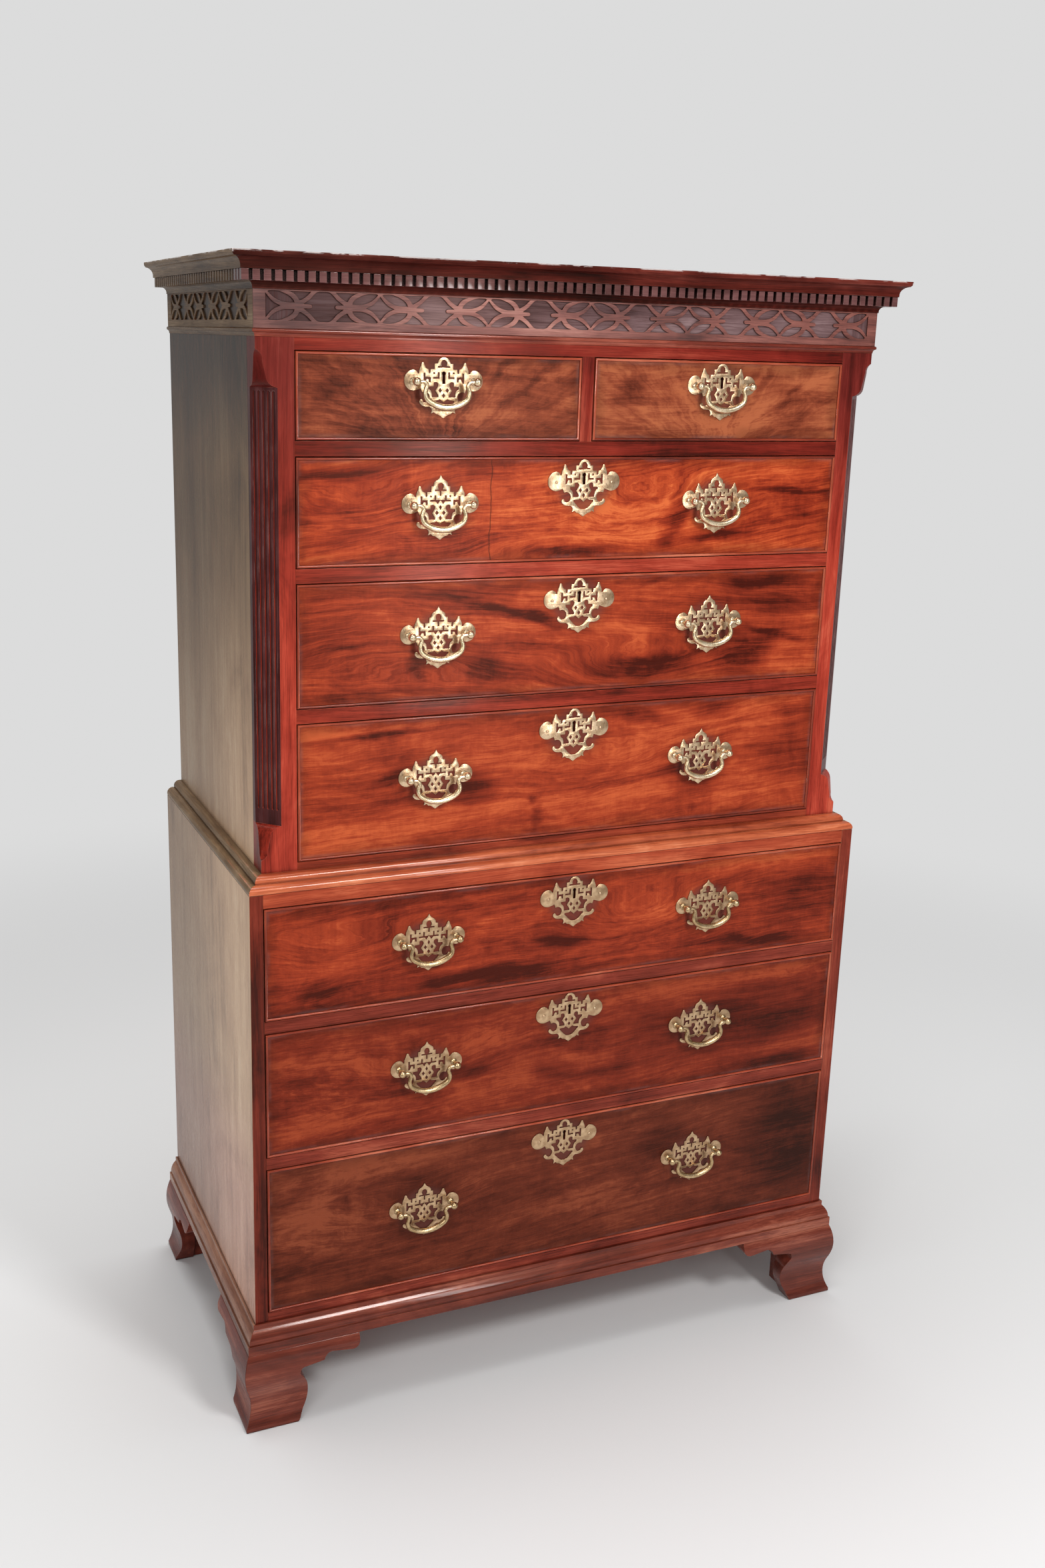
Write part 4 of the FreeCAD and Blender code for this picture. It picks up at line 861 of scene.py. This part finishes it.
# Each drawer's figure. Clouds are (across, up, half length, half height, tilt, depth), and light patches
# where their depth is negative. Swirls end in a push upward instead. Plumes spread from the points of fans.
LOOKS = {
    "short_drawer_left": dict(
        tones=TAWNY, shift=(3.1, 0, 1.2), slope=0.0, wander=0.1, band=0.3, streak=0.5, cloud=0.7, tone=0.5,
        fans=[(-238, 1545)], plume=0.9,
        clouds=[(-395, 1655, 60, 26, 38, 0.16), (-120, 1640, 70, 30, -32, 0.12),
                (-230, 1590, 90, 12, 0, 0.12)],
    ),
    "short_drawer_right": dict(
        tones=TAWNY, shift=(5.7, 0, 2.6), slope=0.0, wander=0.1, band=0.3, streak=0.5, cloud=0.7, tone=0.67,
        fans=[(225, 1540)], plume=0.9,
        clouds=[(75, 1650, 60, 34, 30, 0.25), (330, 1665, 90, 20, -12, 0.1), (240, 1600, 70, 16, -15, -0.15)],
    ),
    "upper_drawer_top": dict(
        tones=FIERY, shift=(1.3, 0, 0.4), slope=0.1, wander=0.07, band=0.8, streak=0.75, cloud=0.6, tone=0.5,
        crack=-0.1545,
        swirls=[(118, 1482, 150, 50, 12, 34), (-40, 1420, 200, 34, -4, -22), (-360, 1480, 180, 50, 8, 26)],
        clouds=[(60, 1480, 340, 90, 0, -0.16), (160, 1452, 70, 30, 58, 0.36), (255, 1428, 110, 12, 4, 0.3),
                (-20, 1412, 120, 10, 0, 0.25), (380, 1500, 130, 10, -3, 0.25), (-390, 1530, 130, 16, 0, 0.2),
                (-370, 1440, 140, 14, 7, 0.22), (430, 1440, 90, 40, 0, 0.14)],
    ),
    "upper_drawer_middle": dict(
        tones=RUDDY, shift=(7.9, 0, 3.3), slope=-0.05, wander=0.08,
        band=0.8, streak=0.75, cloud=0.7, tone=0.57,
        swirls=[(110, 1225, 210, 50, 3, 34), (-300, 1260, 200, 50, -8, -28)],
        clouds=[(-97, 1312, 150, 14, -15, 0.45), (115, 1222, 170, 34, 2, 0.34), (300, 1228, 90, 42, 10, 0.3),
                (-190, 1352, 140, 14, 2, 0.22), (-265, 1240, 24, 40, 0, 0.22), (-160, 1236, 46, 40, 0, 0.2),
                (370, 1262, 110, 12, -12, 0.22), (-420, 1290, 80, 50, 0, 0.1), (330, 1350, 120, 16, 4, 0.18),
                (330, 1290, 260, 120, 0, 0.14)],
    ),
    "upper_drawer_bottom": dict(
        tones=RUDDY, shift=(9.2, 0, 4.8), slope=0.04, wander=0.06,
        band=0.75, streak=0.55, cloud=0.6, tone=0.6,
        swirls=[(60, 1060, 220, 60, 6, 30)],
        clouds=[(-340, 1138, 160, 10, 3, 0.32), (-306, 1070, 60, 18, 22, 0.28), (-170, 1040, 54, 46, 0, 0.24),
                (-71, 1015, 12, 12, 0, 0.3), (120, 1141, 90, 20, -10, 0.28), (258, 1141, 60, 24, 0, 0.28),
                (228, 1030, 80, 44, 0, 0.3), (-59, 982, 16, 40, 0, 0.2), (430, 1060, 120, 110, 0, 0.2)],
    ),
    "lower_drawer_top": dict(
        tones=RUDDY, shift=(2.4, 0, 6.1), slope=0.04, wander=0.08, band=0.75, streak=0.5, cloud=0.6, tone=0.5,
        swirls=[(118, 808, 170, 56, 6, 36), (-345, 806, 190, 56, -4, 34)],
        clouds=[(-150, 735, 200, 22, 0, 0.28), (-18, 775, 70, 18, -6, 0.28), (360, 730, 190, 16, -5, 0.24),
                (450, 800, 130, 90, 14, 0.2), (-440, 745, 60, 14, 0, 0.2), (300, 850, 80, 18, 20, 0.15),
                (140, 810, 140, 60, 0, -0.12)],
    ),
    "lower_drawer_middle": dict(
        tones=BROWN, shift=(4.6, 0, 7.7), slope=0.03, wander=0.06,
        band=0.7, streak=0.45, cloud=0.7, tone=0.58,
        swirls=[(-260, 590, 220, 60, 5, 26)],
        clouds=[(-172, 565, 70, 18, 5, 0.3), (-478, 598, 60, 16, 0, 0.16), (-485, 545, 44, 20, 0, 0.14),
                (-32, 545, 60, 22, -8, 0.24), (60, 530, 140, 14, 0, 0.2), (420, 492, 130, 12, 0, 0.2),
                (-152, 631, 80, 28, 0, -0.16), (408, 664, 110, 14, 0, -0.2), (330, 580, 330, 110, 0, 0.24),
                (-420, 580, 170, 100, 0, -0.16)],
    ),
    "lower_drawer_bottom": dict(
        tones=DUSKY, shift=(6.8, 0, 9.4), slope=0.06, wander=0.05, band=0.6, streak=0.4, cloud=0.8, tone=0.56,
        swirls=[(-300, 330, 220, 70, 8, 24)],
        clouds=[(-358, 428, 140, 34, 0, -0.16), (-240, 370, 90, 56, 10, 0.2), (200, 380, 84, 54, 0, 0.22),
                (75, 290, 140, 46, 0, -0.1), (460, 330, 170, 150, 0, 0.26), (-60, 250, 180, 26, 0, 0.12),
                (-430, 340, 160, 120, 0, -0.16)],
    ),
}

# Wooden pieces: a face looks along an axis when its normal reaches this far along it

STRAIGHT = 0.9
MOSTLY = 0.5
CANTED = 0.3


def paint(mesh, choose):
    """Gives each face the material that choose(middle, normal) names."""
    mesh.materials.clear()
    slots = {}
    for face in mesh.polygons:
        material = choose(face.center, face.normal)
        if material.name not in slots:
            slots[material.name] = len(mesh.materials)
            mesh.materials.append(material)
        face.material_index = slots[material.name]


def dress(node, choose, width=ARRIS):
    """Stands a soft-edged copy in for a CAD node."""
    mesh = softened(node, width, solids_of(node))
    paint(mesh, choose)
    stand_in(node + "_finished", mesh, node)


def only(material):
    return lambda middle, normal: material


def round_case(woods, case):
    """Grain along the run of a moulding or bracket: across the front, or back along a side of that case."""
    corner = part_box(case)[0]

    def choose(middle, normal):
        past_side = abs(middle.x) + corner.x
        past_front = corner.y - middle.y
        return woods["y"] if past_side > past_front else woods["x"]
    return choose


def rail_wood(node):
    """Mahogany rails in front of oak runners and dust boards."""
    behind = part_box(node)[0].y + RAIL_DEPTH + MM

    def choose(middle, normal):
        if middle.y > behind:
            return oak["y"]
        if WAIST_RAILS[0] < middle.z < WAIST_RAILS[1]:
            return waist_rail
        upright = abs(middle.x) < PARTITION_HALF + MM and abs(normal.z) < MOSTLY
        return mahogany["z"] if upright else mahogany["x"]
    return choose


def post_wood(middle, normal):
    return cant_wood if abs(normal.x) > CANTED else post_face


def side_board_wood(middle, normal):
    return mahogany["z"] if normal.y < -MOSTLY else side_wood


# Waist moulding: two rounds with a groove between, in millimetres in from the face and up
WAIST_ROUND = 10.4
WAIST_BEVEL = 0.8
WAIST_STEPS = 10
LOWER_ROUND_LEVEL = 2.4
UPPER_ROUND = (22.8, 14.6)
GROOVE = [(12.8, 12.6), (12.8, 14.0)]


def waist_moulding():
    """Two rounds, the upper one set back above the lower."""
    low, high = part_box("waist_moulding")
    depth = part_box("upper_sides")[0].x / MM - low.x / MM
    section = [(depth, 0), (WAIST_BEVEL, 0), (0, WAIST_BEVEL), (0, LOWER_ROUND_LEVEL)]
    section += arc_points((WAIST_ROUND, LOWER_ROUND_LEVEL), WAIST_ROUND, 180, 92, WAIST_STEPS) + GROOVE
    section += arc_points(UPPER_ROUND, WAIST_ROUND, 180, 90, WAIST_STEPS)
    section.append((depth, UPPER_ROUND[1] + WAIST_ROUND))
    mesh = skirt_mesh("waist_rounds", low, high, [(inset * MM, low.z + up * MM) for inset, up in section])
    paint(mesh, round_case(waist_wood, "upper_sides"))
    stand_in("waist_moulding_finished", mesh, "waist_moulding")


dress("base_moulding", round_case(base_wood, "lower_sides"))
waist_moulding()
for node in ("front_feet", "rear_feet"):
    dress(node, round_case(foot_wood, "lower_sides"), SOFT_ARRIS)
for node, woods in (("cornice", cornice_wood), ("astragal", astragal_wood), ("dentils", dentil_wood)):
    dress(node, round_case(woods, "upper_sides"))
for node in ("lower_sides", "upper_sides"):
    dress(node, side_board_wood, SOFT_ARRIS)
for node in ("lower_dividers", "upper_dividers"):
    dress(node, rail_wood(node))
for node in ("lower_top", "upper_bottom"):
    dress(node, only(waist_rail))
dress("lower_bottom", only(mahogany["x"]))
for node in ("upper_top", "base_frame"):
    dress(node, only(pine["x"]), SOFT_ARRIS)
for node in ("lower_back", "upper_back"):
    dress(node, only(pine["z"]), ROUGH_ARRIS)
paint(NODES["corner_posts"].data, post_wood)

# Drawer fronts, their cock beads and boxes

bead_wood = woods_along("xz", "bead_wood", BEAD, SATIN, wear=0.2)
TAIL_PITCH = 0.046
TAIL_LAP = 0.008
TAIL_HALVES = (0.4, 0.29)
SEAM_EDGE = (0.0006, 0.0001)
SEAM_BLUR = 0.0002
BEAD_STEPS = 8


def dovetails(drawer):
    """The end of a drawer front: the tails of the oak side let into it, up to a lap behind its face."""
    material, tree, shader = new_material(drawer + "_dovetails")
    low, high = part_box(drawer + "_front")
    inside = low.y + BEAD_PROUD + FRONT_THICK
    lap = low.y + BEAD_PROUD + TAIL_LAP
    pitch = (high.z - low.z) / round((high.z - low.z) / TAIL_PITCH)
    place = own_place(tree)
    parts = split(place)
    row = maths("FRACT", maths("DIVIDE", minus(parts[2], low.z), pitch))
    flare = ramped(parts[1], lap, inside, *TAIL_HALVES)
    slant = times(minus(flare, apart(row, 0.5)), pitch)
    rim = maths("MINIMUM", slant, minus(parts[1], lap))
    fibre = noise(place, (500, 18, 500))
    tail = toned(weighed(0.5, (fibre, 1.0)), OAK)
    pin = toned(weighed(0.45, (fibre, 1.0)), MAHOGANY)
    shade = mixed(ramped(rim, -SEAM_BLUR, SEAM_BLUR), pin, tail)
    seam = ramped(maths("ABSOLUTE", rim), *SEAM_EDGE, 0.0, 0.8)
    surface(shader, BARE, mixed(seam, shade, GRIME_AND_SHADE), fibre)
    return material


def bead_mesh(drawer):
    """A half-round bead, mitred round a drawer front."""
    low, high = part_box(drawer + "_front")
    radius = BEAD_WIDTH / 2
    nose = arc_points((radius, -low.y - radius), radius, 180, 0, BEAD_STEPS)
    back = low.y + BEAD_DEPTH
    profile = [(0, back)] + [(inset, -out) for inset, out in nose] + [(BEAD_WIDTH, back)]
    return border_mesh(drawer + "_beads", low, high, profile)


def drawer_front(drawer):
    """The veneered front board and the beads round it."""
    node = drawer + "_front"
    low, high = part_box(node)
    face = low.y + BEAD_PROUD
    skin = veneer(drawer, LOOKS[drawer])
    ends = dovetails(drawer)

    def board_wood(middle, normal):
        if normal.y < -STRAIGHT and middle.y < face + MM:
            return skin
        if abs(normal.x) > STRAIGHT and middle.y > low.y + BEAD_DEPTH:
            return ends
        return mahogany["x"]

    def strip_wood(middle, normal):
        upright = min(middle.x - low.x, high.x - middle.x) < BEAD_WIDTH
        return bead_wood["z"] if upright else bead_wood["x"]

    board = softened(node, CRISP_ARRIS, [max(solids_of(node), key=len)])
    paint(board, board_wood)
    stand_in(drawer + "_board", board, node)
    beads = bead_mesh(drawer)
    paint(beads, strip_wood)
    stand_in(drawer + "_beads", beads, node)


def box_wood(middle, normal):
    return oak["y"] if abs(normal.x) > MOSTLY else oak["x"]


for drawer in DRAWERS:
    drawer_front(drawer)
    dress(drawer + "_box", box_wood)

# Fret: a pierced sheet on each face of the frieze, its holes in millimetres from the middle of a ring

FRET_PITCH = 166.4
FRET_FRONT_UNITS = 6
FRET_SIDE_UNITS = 3
FRET_THICK = 0.0025
FRET_BEVEL = 0.0003
FRET_RISE = 4.5
FRET_HALF_HEIGHT = 26.0
RING = [
    (0, 20, 1), (9, 19.3, 1), (15, 14.5, 1), (20, 9.5, 1), (26, 5.2, 1), (29, 2.8), (20, 2.6), (17.3, 1.4, 1),
    (17.0, 0, 1),
]
GABLE = [(17.5, 19.6), (25, 12.8, 1), (33, 8.0), (35, 8.0), (38.5, 13.2, 1), (45, 17.8, 1), (51, 19.6)]
LEAF = [
    (42, 4.6), (58, 5.2, 1), (70, 9.8, 1), (80, 18.0), (78, 19.6), (66, 19.6, 1), (58, 17.4, 1),
    (48, 12.4, 1), (43, 7.5, 1),
]
DIAMOND = [(0, 16.5), (10.2, 5.5, 1), (21.2, 0)]


def all_round(quarter):
    """A ring from its first quarter, which runs from the upright middle line to the level one."""
    right = quarter + upended(quarter[-2::-1])
    return right + mirrored(right[-2:0:-1])


def fret_rings(units, half_length):
    """The outline of a sheet and its holes, for a number of units about its middle."""
    outline = [(x * half_length, z * FRET_HALF_HEIGHT) for x, z in SQUARE_CORNERS]
    holes = []
    for number in range(units):
        middle = (number - (units - 1) / 2) * FRET_PITCH
        corners = both_sides(GABLE, LEAF)
        for hole in [all_round(RING)] + corners + [upended(ring) for ring in corners]:
            holes.append(moved(hole, middle, FRET_RISE))
    for number in range(1, units):
        holes.append(moved(all_round(DIAMOND), (number - units / 2) * FRET_PITCH, FRET_RISE))
    half = DIAMOND + upended(DIAMOND[-2::-1])
    end = units / 2 * FRET_PITCH
    holes.append(moved(half, -end, FRET_RISE))
    holes.append(moved(mirrored(half), end, FRET_RISE))
    return [outline] + holes


def fret():
    """The sheets on the front and both sides of the frieze."""
    low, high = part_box("frieze_fret")
    level = (low.z + high.z) / 2
    front = sheet_mesh("fret_front", fret_rings(FRET_FRONT_UNITS, high.x / MM), FRET_THICK, FRET_BEVEL)
    depth = (high.y - low.y - FRET_THICK) / 2
    side = sheet_mesh("fret_side", fret_rings(FRET_SIDE_UNITS, depth / MM), FRET_THICK, FRET_BEVEL)
    middle = low.y + FRET_THICK + depth
    turns = {
        "front": (front, Matrix.Identity(4), "x"),
        "left": (side, Matrix.Rotation(-math.pi / 2, 4, "Z"), "y"),
        "right": (side.copy(), Matrix.Rotation(math.pi / 2, 4, "Z"), "y"),
    }
    for name, (mesh, turn, axis) in turns.items():
        out = turn @ Vector((0, -1, 0))
        back = Vector((out.x * (high.x - FRET_THICK), low.y + FRET_THICK if axis == "x" else middle, level))
        mesh.transform(Matrix.Translation(back) @ turn)
        paint(mesh, only(fret_wood[axis]))
        stand_in("frieze_fret_" + name, mesh, "frieze_fret")


fret()

# Brasses: outlines in millimetres, out from the middle and up from the pivot line

ARCH_TOP = [(0, 34.2, 1), (7.2, 31.2, 1), (10.2, 25.2), (14.4, 25.2), (14.4, 17.2), (20.6, 17.2)]
SPADE_TOP = [
    (0, 43.0), (3.2, 37.6, 1), (7.4, 34.6), (10.2, 32.0, 1), (11.4, 26.6), (15.0, 26.2), (15.0, 18.2),
    (21.6, 18.2),
]
PLATE_SIDE = [
    (21.4, 11.4), (23.6, 11.4), (23.8, 17.2), (27.0, 17.8), (29.8, 22.0, 1), (32.2, 26.6, 1), (33.8, 26.6, 1),
    (35.6, 22.0, 1), (38.4, 15.5), (38.4, 10.8), (40.2, 11.0), (43.0, 14.6, 1), (48.4, 16.0, 1),
    (57.4, 11.2, 1), (61.2, 1.0, 1), (57.2, -9.0, 1), (47.6, -13.2, 1), (40.2, -11.6, 1), (35.6, -9.8),
    (33.4, -15.8), (28.6, -14.8, 1), (22.8, -19.0, 1), (22.6, -25.4, 1), (27.2, -30.2, 1), (31.6, -29.0),
    (32.8, -26.4, 1), (35.4, -25.6, 1), (37.4, -28.2, 1), (35.2, -32.6, 1), (29.6, -35.4, 1), (22.0, -35.6),
    (19.2, -37.6, 1), (18.0, -41.0, 1), (19.2, -45.4), (14.6, -43.4), (11.4, -46.4), (8.0, -46.8),
    (4.8, -48.8), (0, -52.4),
]
ARCH_OMEGA = [(0, 30.6, 1), (4.4, 26.4, 1), (3.9, 21.8), (9.6, 21.6), (9.6, 19.4), (0, 19.4)]
SPADE_OMEGA = [
    (0, 31.6, 1), (4.4, 27.2, 1), (3.2, 21.8), (9.2, 21.6), (9.2, 19.6), (1.0, 19.6), (1.0, 12.4), (0, 12.4),
]
KEYHOLE = [(0, 14.3, 1), (2.8, 11.6, 1), (1.9, 8.8), (2.2, -3.4), (0, -3.5)]
SQUARE = [(14.2, 13.0), (16.4, 13.0), (16.4, 10.6), (14.2, 10.6)]
ANGLE = [(6.8, 13.2), (9.2, 13.2), (9.2, 6.2), (16.4, 6.2), (16.4, 3.8), (6.8, 3.8)]
COMB = [
    (0, 6.4), (7.2, 6.4), (7.2, 13.2), (9.4, 13.2), (9.4, 6.4), (16.4, 6.4), (16.4, 4.2), (7.4, 4.2),
    (4.2, 0.4), (0.9, 5.2), (0, 5.4),
]
STEPS = [
    (20.6, 6.2), (29.0, 6.2), (29.0, 12.0), (31.6, 12.0), (31.6, -2.8), (29.4, -2.4), (26.6, 3.2),
    (23.0, 2.8), (23.0, -1.0), (20.6, -1.0),
]
PANEL_HOLE = [
    (11.4, -0.8, 1), (15.6, -1.4), (15.6, -7.0), (23.6, -7.2), (23.4, -10.6), (20.0, -13.4, 1),
    (18.2, -18.0, 1), (18.0, -22.4), (8.2, -22.4), (8.6, -19.2), (13.2, -13.0), (8.8, -6.8), (9.0, -3.0, 1),
]
APRON = [
    (0, -29.6), (3.0, -27.0), (6.2, -24.6), (9.0, -26.8), (16.6, -27.2), (16.8, -29.4), (12.6, -33.6, 1),
    (8.4, -38.0, 1), (3.6, -41.0, 1), (0, -41.4, 1),
]


def diamond(x, z, half_width, half_height):
    return [(x, z + half_height), (x + half_width, z), (x, z - half_height), (x - half_width, z)]


SHARED_HOLES = both_sides(SQUARE, STEPS, PANEL_HOLE, diamond(5.6, -12.4, 2.5, 3.6))
SHARED_HOLES += [closed(APRON), diamond(0, -20.0, 2.4, 3.7)]
ARCH_HOLES = [closed(ARCH_OMEGA), closed(KEYHOLE), *both_sides(ANGLE)]
SPADE_HOLES = [closed(SPADE_OMEGA), closed(COMB), diamond(0, -4.4, 1.9, 3.8)]
PLATE_BEVEL = 0.00035


def plate_mesh(name, top, holes):
    """A back plate with its own top and holes, and the sides and holes that all plates share."""
    rings = [closed(top + PLATE_SIDE), *holes, *SHARED_HOLES]
    return sheet_mesh(name, rings, PLATE_THICK, PLATE_BEVEL)


arch_plate = plate_mesh("arch_plate", ARCH_TOP, ARCH_HOLES)
spade_plate = plate_mesh("spade_plate", SPADE_TOP, SPADE_HOLES)

# Turned pieces of the handles, as (radius, distance out) in millimetres
BALL_RADIUS = 6.3
BALL_OUT = PIVOT_OUT / MM
POST_PROFILE = [
    (0.0, 1.6), (5.6, 1.6), (5.6, 2.2), (4.8, 3.0), (3.2, 3.8), (2.5, 5.2), (2.4, 8.6), (3.0, 9.6),
    (3.9, 10.2), (3.9, 10.9), (3.0, 11.5),
]
POST_PROFILE += [
    (BALL_RADIUS * math.sin(math.radians(angle)), BALL_OUT - BALL_RADIUS * math.cos(math.radians(angle)))
    for angle in range(35, 181, 8)
]
NUT_PROFILE = [(0.0, -6), (2.2, -6), (2.6, -5.6), (2.6, -4), (5.6, -4), (6.5, -3.2), (6.5, 0), (0.0, 0)]
PIN_PROFILE = [(2.4, 1.6), (2.3, 2.1), (1.7, 2.7), (0.9, 3.0), (0.0, 3.05)]

# A bail's right half: where its rod starts, then arcs as (centre, radius, start and end in degrees, steps)
BAIL_START = [(0.0413, 0.0), (0.0395, 0.0)]
BAIL_NECK = ((0.038, -0.006), 0.006, 90, 200, 8)
BAIL_SHOULDER = ((0.02151, -0.01626), 0.013, 20, -54.4, 10)
BAIL_BOW = ((0, 0.01375), 0.0499, -54.4, -90, 10)
BAIL_THIN = 0.0027
BAIL_THICK = 0.0046
BAIL_SWELL = 1.5
BAIL_PIN = (0.0411, 0.0455)
BAIL_PIN_RADIUS = 0.0016
LOCK_ARRIS = 0.0012


def bail_line():
    """The middle line of a bail about its pivots, as in the frame, with its radius at each point."""
    half = BAIL_START + arc_points(*BAIL_NECK) + arc_points(*BAIL_SHOULDER) + arc_points(*BAIL_BOW)[1:]
    line = half + mirrored(half[-2::-1])
    radii = []
    for number in range(len(line)):
        share = math.sin(math.pi * number / (len(line) - 1))
        radii.append(BAIL_THIN + (BAIL_THICK - BAIL_THIN) * share ** BAIL_SWELL)
    return [(x, 0, z) for x, z in line], radii


def bail_mesh():
    """A bail with the pins that turn in its posts."""
    pieces = [tube_mesh("bail_rod", *bail_line(), roundness=4)]
    for way in (-1, 1):
        ends = [(way * reach, 0, 0) for reach in BAIL_PIN]
        pieces.append(tube_mesh("bail_pin", ends, [BAIL_PIN_RADIUS] * 2, roundness=3))
    mesh = join_meshes("bail", [(piece, Matrix.Identity(4)) for piece in pieces])
    return smoothed(mesh, ROUND_SMOOTH)


def lock_mesh():
    """A box lock with rounded arrises."""
    work = bmesh.new()
    bmesh.ops.create_cube(work, size=1, matrix=Matrix.Diagonal((*LOCK_SIZE, 1)))
    bmesh.ops.bevel(work, geom=work.edges[:], offset=LOCK_ARRIS, segments=2, affect="EDGES")
    return mesh_of("drawer_lock", work)


def fit(name, mesh, place, material, body, node):
    """A piece at a place, riding on a body and standing for a CAD node. A mesh keeps its first material."""
    made = new_object(name, mesh)
    made.location = place
    if not mesh.materials:
        mesh.materials.append(material)
    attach(made, body)
    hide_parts(node)


PIVOTS = [Matrix.Translation((way * HALF_PIVOTS, 0, 0)) for way in (-1, 1)]
NUT_START = FRONT_THICK / MM
post = turned_mesh("handle_post", POST_PROFILE)
nut = turned_mesh("handle_nut", [(radius, out - NUT_START) for radius, out in NUT_PROFILE])
pin = turned_mesh("plate_pin", PIN_PROFILE)
posts = join_meshes("handle_posts", [(mesh, matrix) for mesh in (post, nut) for matrix in PIVOTS])
smoothed(posts, ROUND_SMOOTH)
pins = join_meshes("plate_pins", [(pin, matrix) for matrix in PIVOTS])
pins.shade_smooth()
lock = lock_mesh()

# The meshes of a handle in its bright brass, and copies for the darker brass of the lower chest, which is
# painted shade
BRIGHT_SET = (arch_plate, spade_plate, posts, bail_mesh())
SHADED_SET = tuple(mesh.copy() for mesh in BRIGHT_SET)


def drawer_brasses(drawer):
    """The lock, handles and escutcheon of a drawer."""
    low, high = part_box(drawer + "_front")
    face = low.y + BEAD_PROUD
    node = drawer + "_brass"
    middle = (low.x + high.x) / 2
    lock_level = high.z - BEAD_WIDTH - LOCK_SIZE[2] / 2
    lock_place = (middle, face + FRONT_THICK + LOCK_SIZE[1] / 2, lock_level)
    fit(drawer + "_lock", lock, lock_place, lock_brass, drawer, node)
    # Painted shade: the lower chest's brass is darker
    lower_in_shade = drawer.startswith("lower")
    arched, spaded, balls, rod = SHADED_SET if lower_in_shade else BRIGHT_SET
    skin, bail_skin = (aged_brass, shaded_bail_brass) if lower_in_shade else (plate_brass, bail_brass)
    bails = [name for name in HINGES if name.startswith(drawer)]
    for name in bails:
        hinge = HINGES[name]
        place = (hinge.x, face, hinge.z)
        side = name.replace("_bail", "_plate")
        fit(side, spaded if len(bails) > 1 else arched, place, skin, drawer, node)
        fit(name.replace("_bail", "_posts"), balls, place, bail_skin, drawer, node)
        fit(name + "_rod", rod, hinge, bail_skin, name, name)
    if len(bails) > 1:
        place = (middle, face, high.z - LOCK_DROP)
        fit(drawer + "_escutcheon", arched, place, skin, drawer, node)
        fit(drawer + "_escutcheon_pins", pins, place, plate_brass, drawer, node)


for drawer in DRAWERS:
    drawer_brasses(drawer)

# Stage: a pale floor that runs out into a pale surround, soft lamps and the camera

PALE = (0.715, 0.715, 0.715, 1)
PAPER = (0.77, 0.77, 0.77, 1)
MIRRORED_SHARE = 0.25
ROOM_LIGHT = 0.2
FLOOR_HALF = 20
FLOOR_DROP = 0.0004
FLOOR_FADE = (1.2, 3.2)
LAMPS = {
    "key": dict(place=(0.66, -2.7, 2.9), target=(0, 0, 1.1), size=(0.6, 0.6), power=48),
    "fill": dict(place=(-2.3, -2.9, 2.5), target=(0, 0, 1.0), size=(1.6, 1.8), power=42),
    "top": dict(place=(-0.2, 0.4, 4.4), target=(0, 0, 0), size=(3.0, 2.4), power=145),
    "sheen": dict(place=(0.645, -2.55, 1.22), target=(-0.1, -0.25, 1.22), size=(0.2, 1.25), power=11),
}


def sees_background(tree):
    """1 for the camera's own rays and rays through glass, and a share for mirrored ones, as in a dim room."""
    rays = add("LightPath", {}, tree).outputs
    direct = maths("MAXIMUM", rays["Is Camera Ray"], rays["Is Transmission Ray"])
    return maths("MAXIMUM", direct, times(rays["Is Glossy Ray"], MIRRORED_SHARE))


def stage_floor():
    """A sheet of pale paper, which glows like the surround where it is far off."""
    corners = [(x * FLOOR_HALF, y * FLOOR_HALF, 0) for x, y in SQUARE_CORNERS]
    mesh = mesh_from("floor", corners, [(0, 1, 2, 3)])
    floor = new_object("floor", mesh)
    floor.location.z = -FLOOR_DROP
    material, tree, shader = new_material("floor_paper")
    feed(shader, {"Base Color": PAPER, "Roughness": 0.8})
    far = times(ramped(length(own_place(tree)), *FLOOR_FADE), sees_background(tree))
    glow = add("Emission", {"Color": PALE, "Strength": 1.0}, tree)
    blend = add("MixShader", {0: far, 1: shader.outputs[0], 2: glow.outputs[0]})
    output = next(node for node in tree.nodes if node.type == "OUTPUT_MATERIAL")
    feed(output, {"Surface": blend.outputs[0]})
    mesh.materials.append(material)


def stage_world():
    """Dim white light from all round, and the pale surround where it is seen."""
    world = bpy.data.worlds.new("surround")
    bpy.context.scene.world = world
    world.use_nodes = True
    tree = world.node_tree
    tree.nodes.clear()
    dim = add("Background", {"Color": (1, 1, 1, 1), "Strength": ROOM_LIGHT}, tree)
    pale = add("Background", {"Color": PALE, "Strength": 1.0}, tree)
    seen = sees_background(tree)
    blend = add("MixShader", {0: seen, 1: dim.outputs[0], 2: pale.outputs[0]})
    add("OutputWorld", {"Surface": blend.outputs[0]})


def stage_lamp(name, place, target, size, power):
    lamp = bpy.data.lights.new(name, "AREA")
    lamp.shape = "RECTANGLE"
    lamp.size, lamp.size_y = size
    lamp.energy = power
    made = new_object(name, lamp)
    made.location = place
    made.rotation_euler = (Vector(target) - Vector(place)).to_track_quat("-Z", "Y").to_euler()


def stage_camera():
    lens = bpy.data.cameras.new("camera")
    lens.lens = CAMERA_LENS
    lens.shift_x, lens.shift_y = CAMERA_SHIFT
    camera = new_object("camera", lens)
    turn = Matrix.Rotation(-math.radians(CAMERA_YAW), 4, "Z")
    tilt = Matrix.Rotation(math.radians(90 + CAMERA_PITCH), 4, "X")
    roll = Matrix.Rotation(math.radians(CAMERA_ROLL), 4, "Z")
    camera.matrix_world = Matrix.Translation(CAMERA_PLACE) @ turn @ tilt @ roll
    bpy.context.scene.camera = camera


stage_floor()
stage_world()
for name, lamp in LAMPS.items():
    stage_lamp(name, **lamp)
stage_camera()
bpy.context.scene.view_settings.view_transform = "Standard"
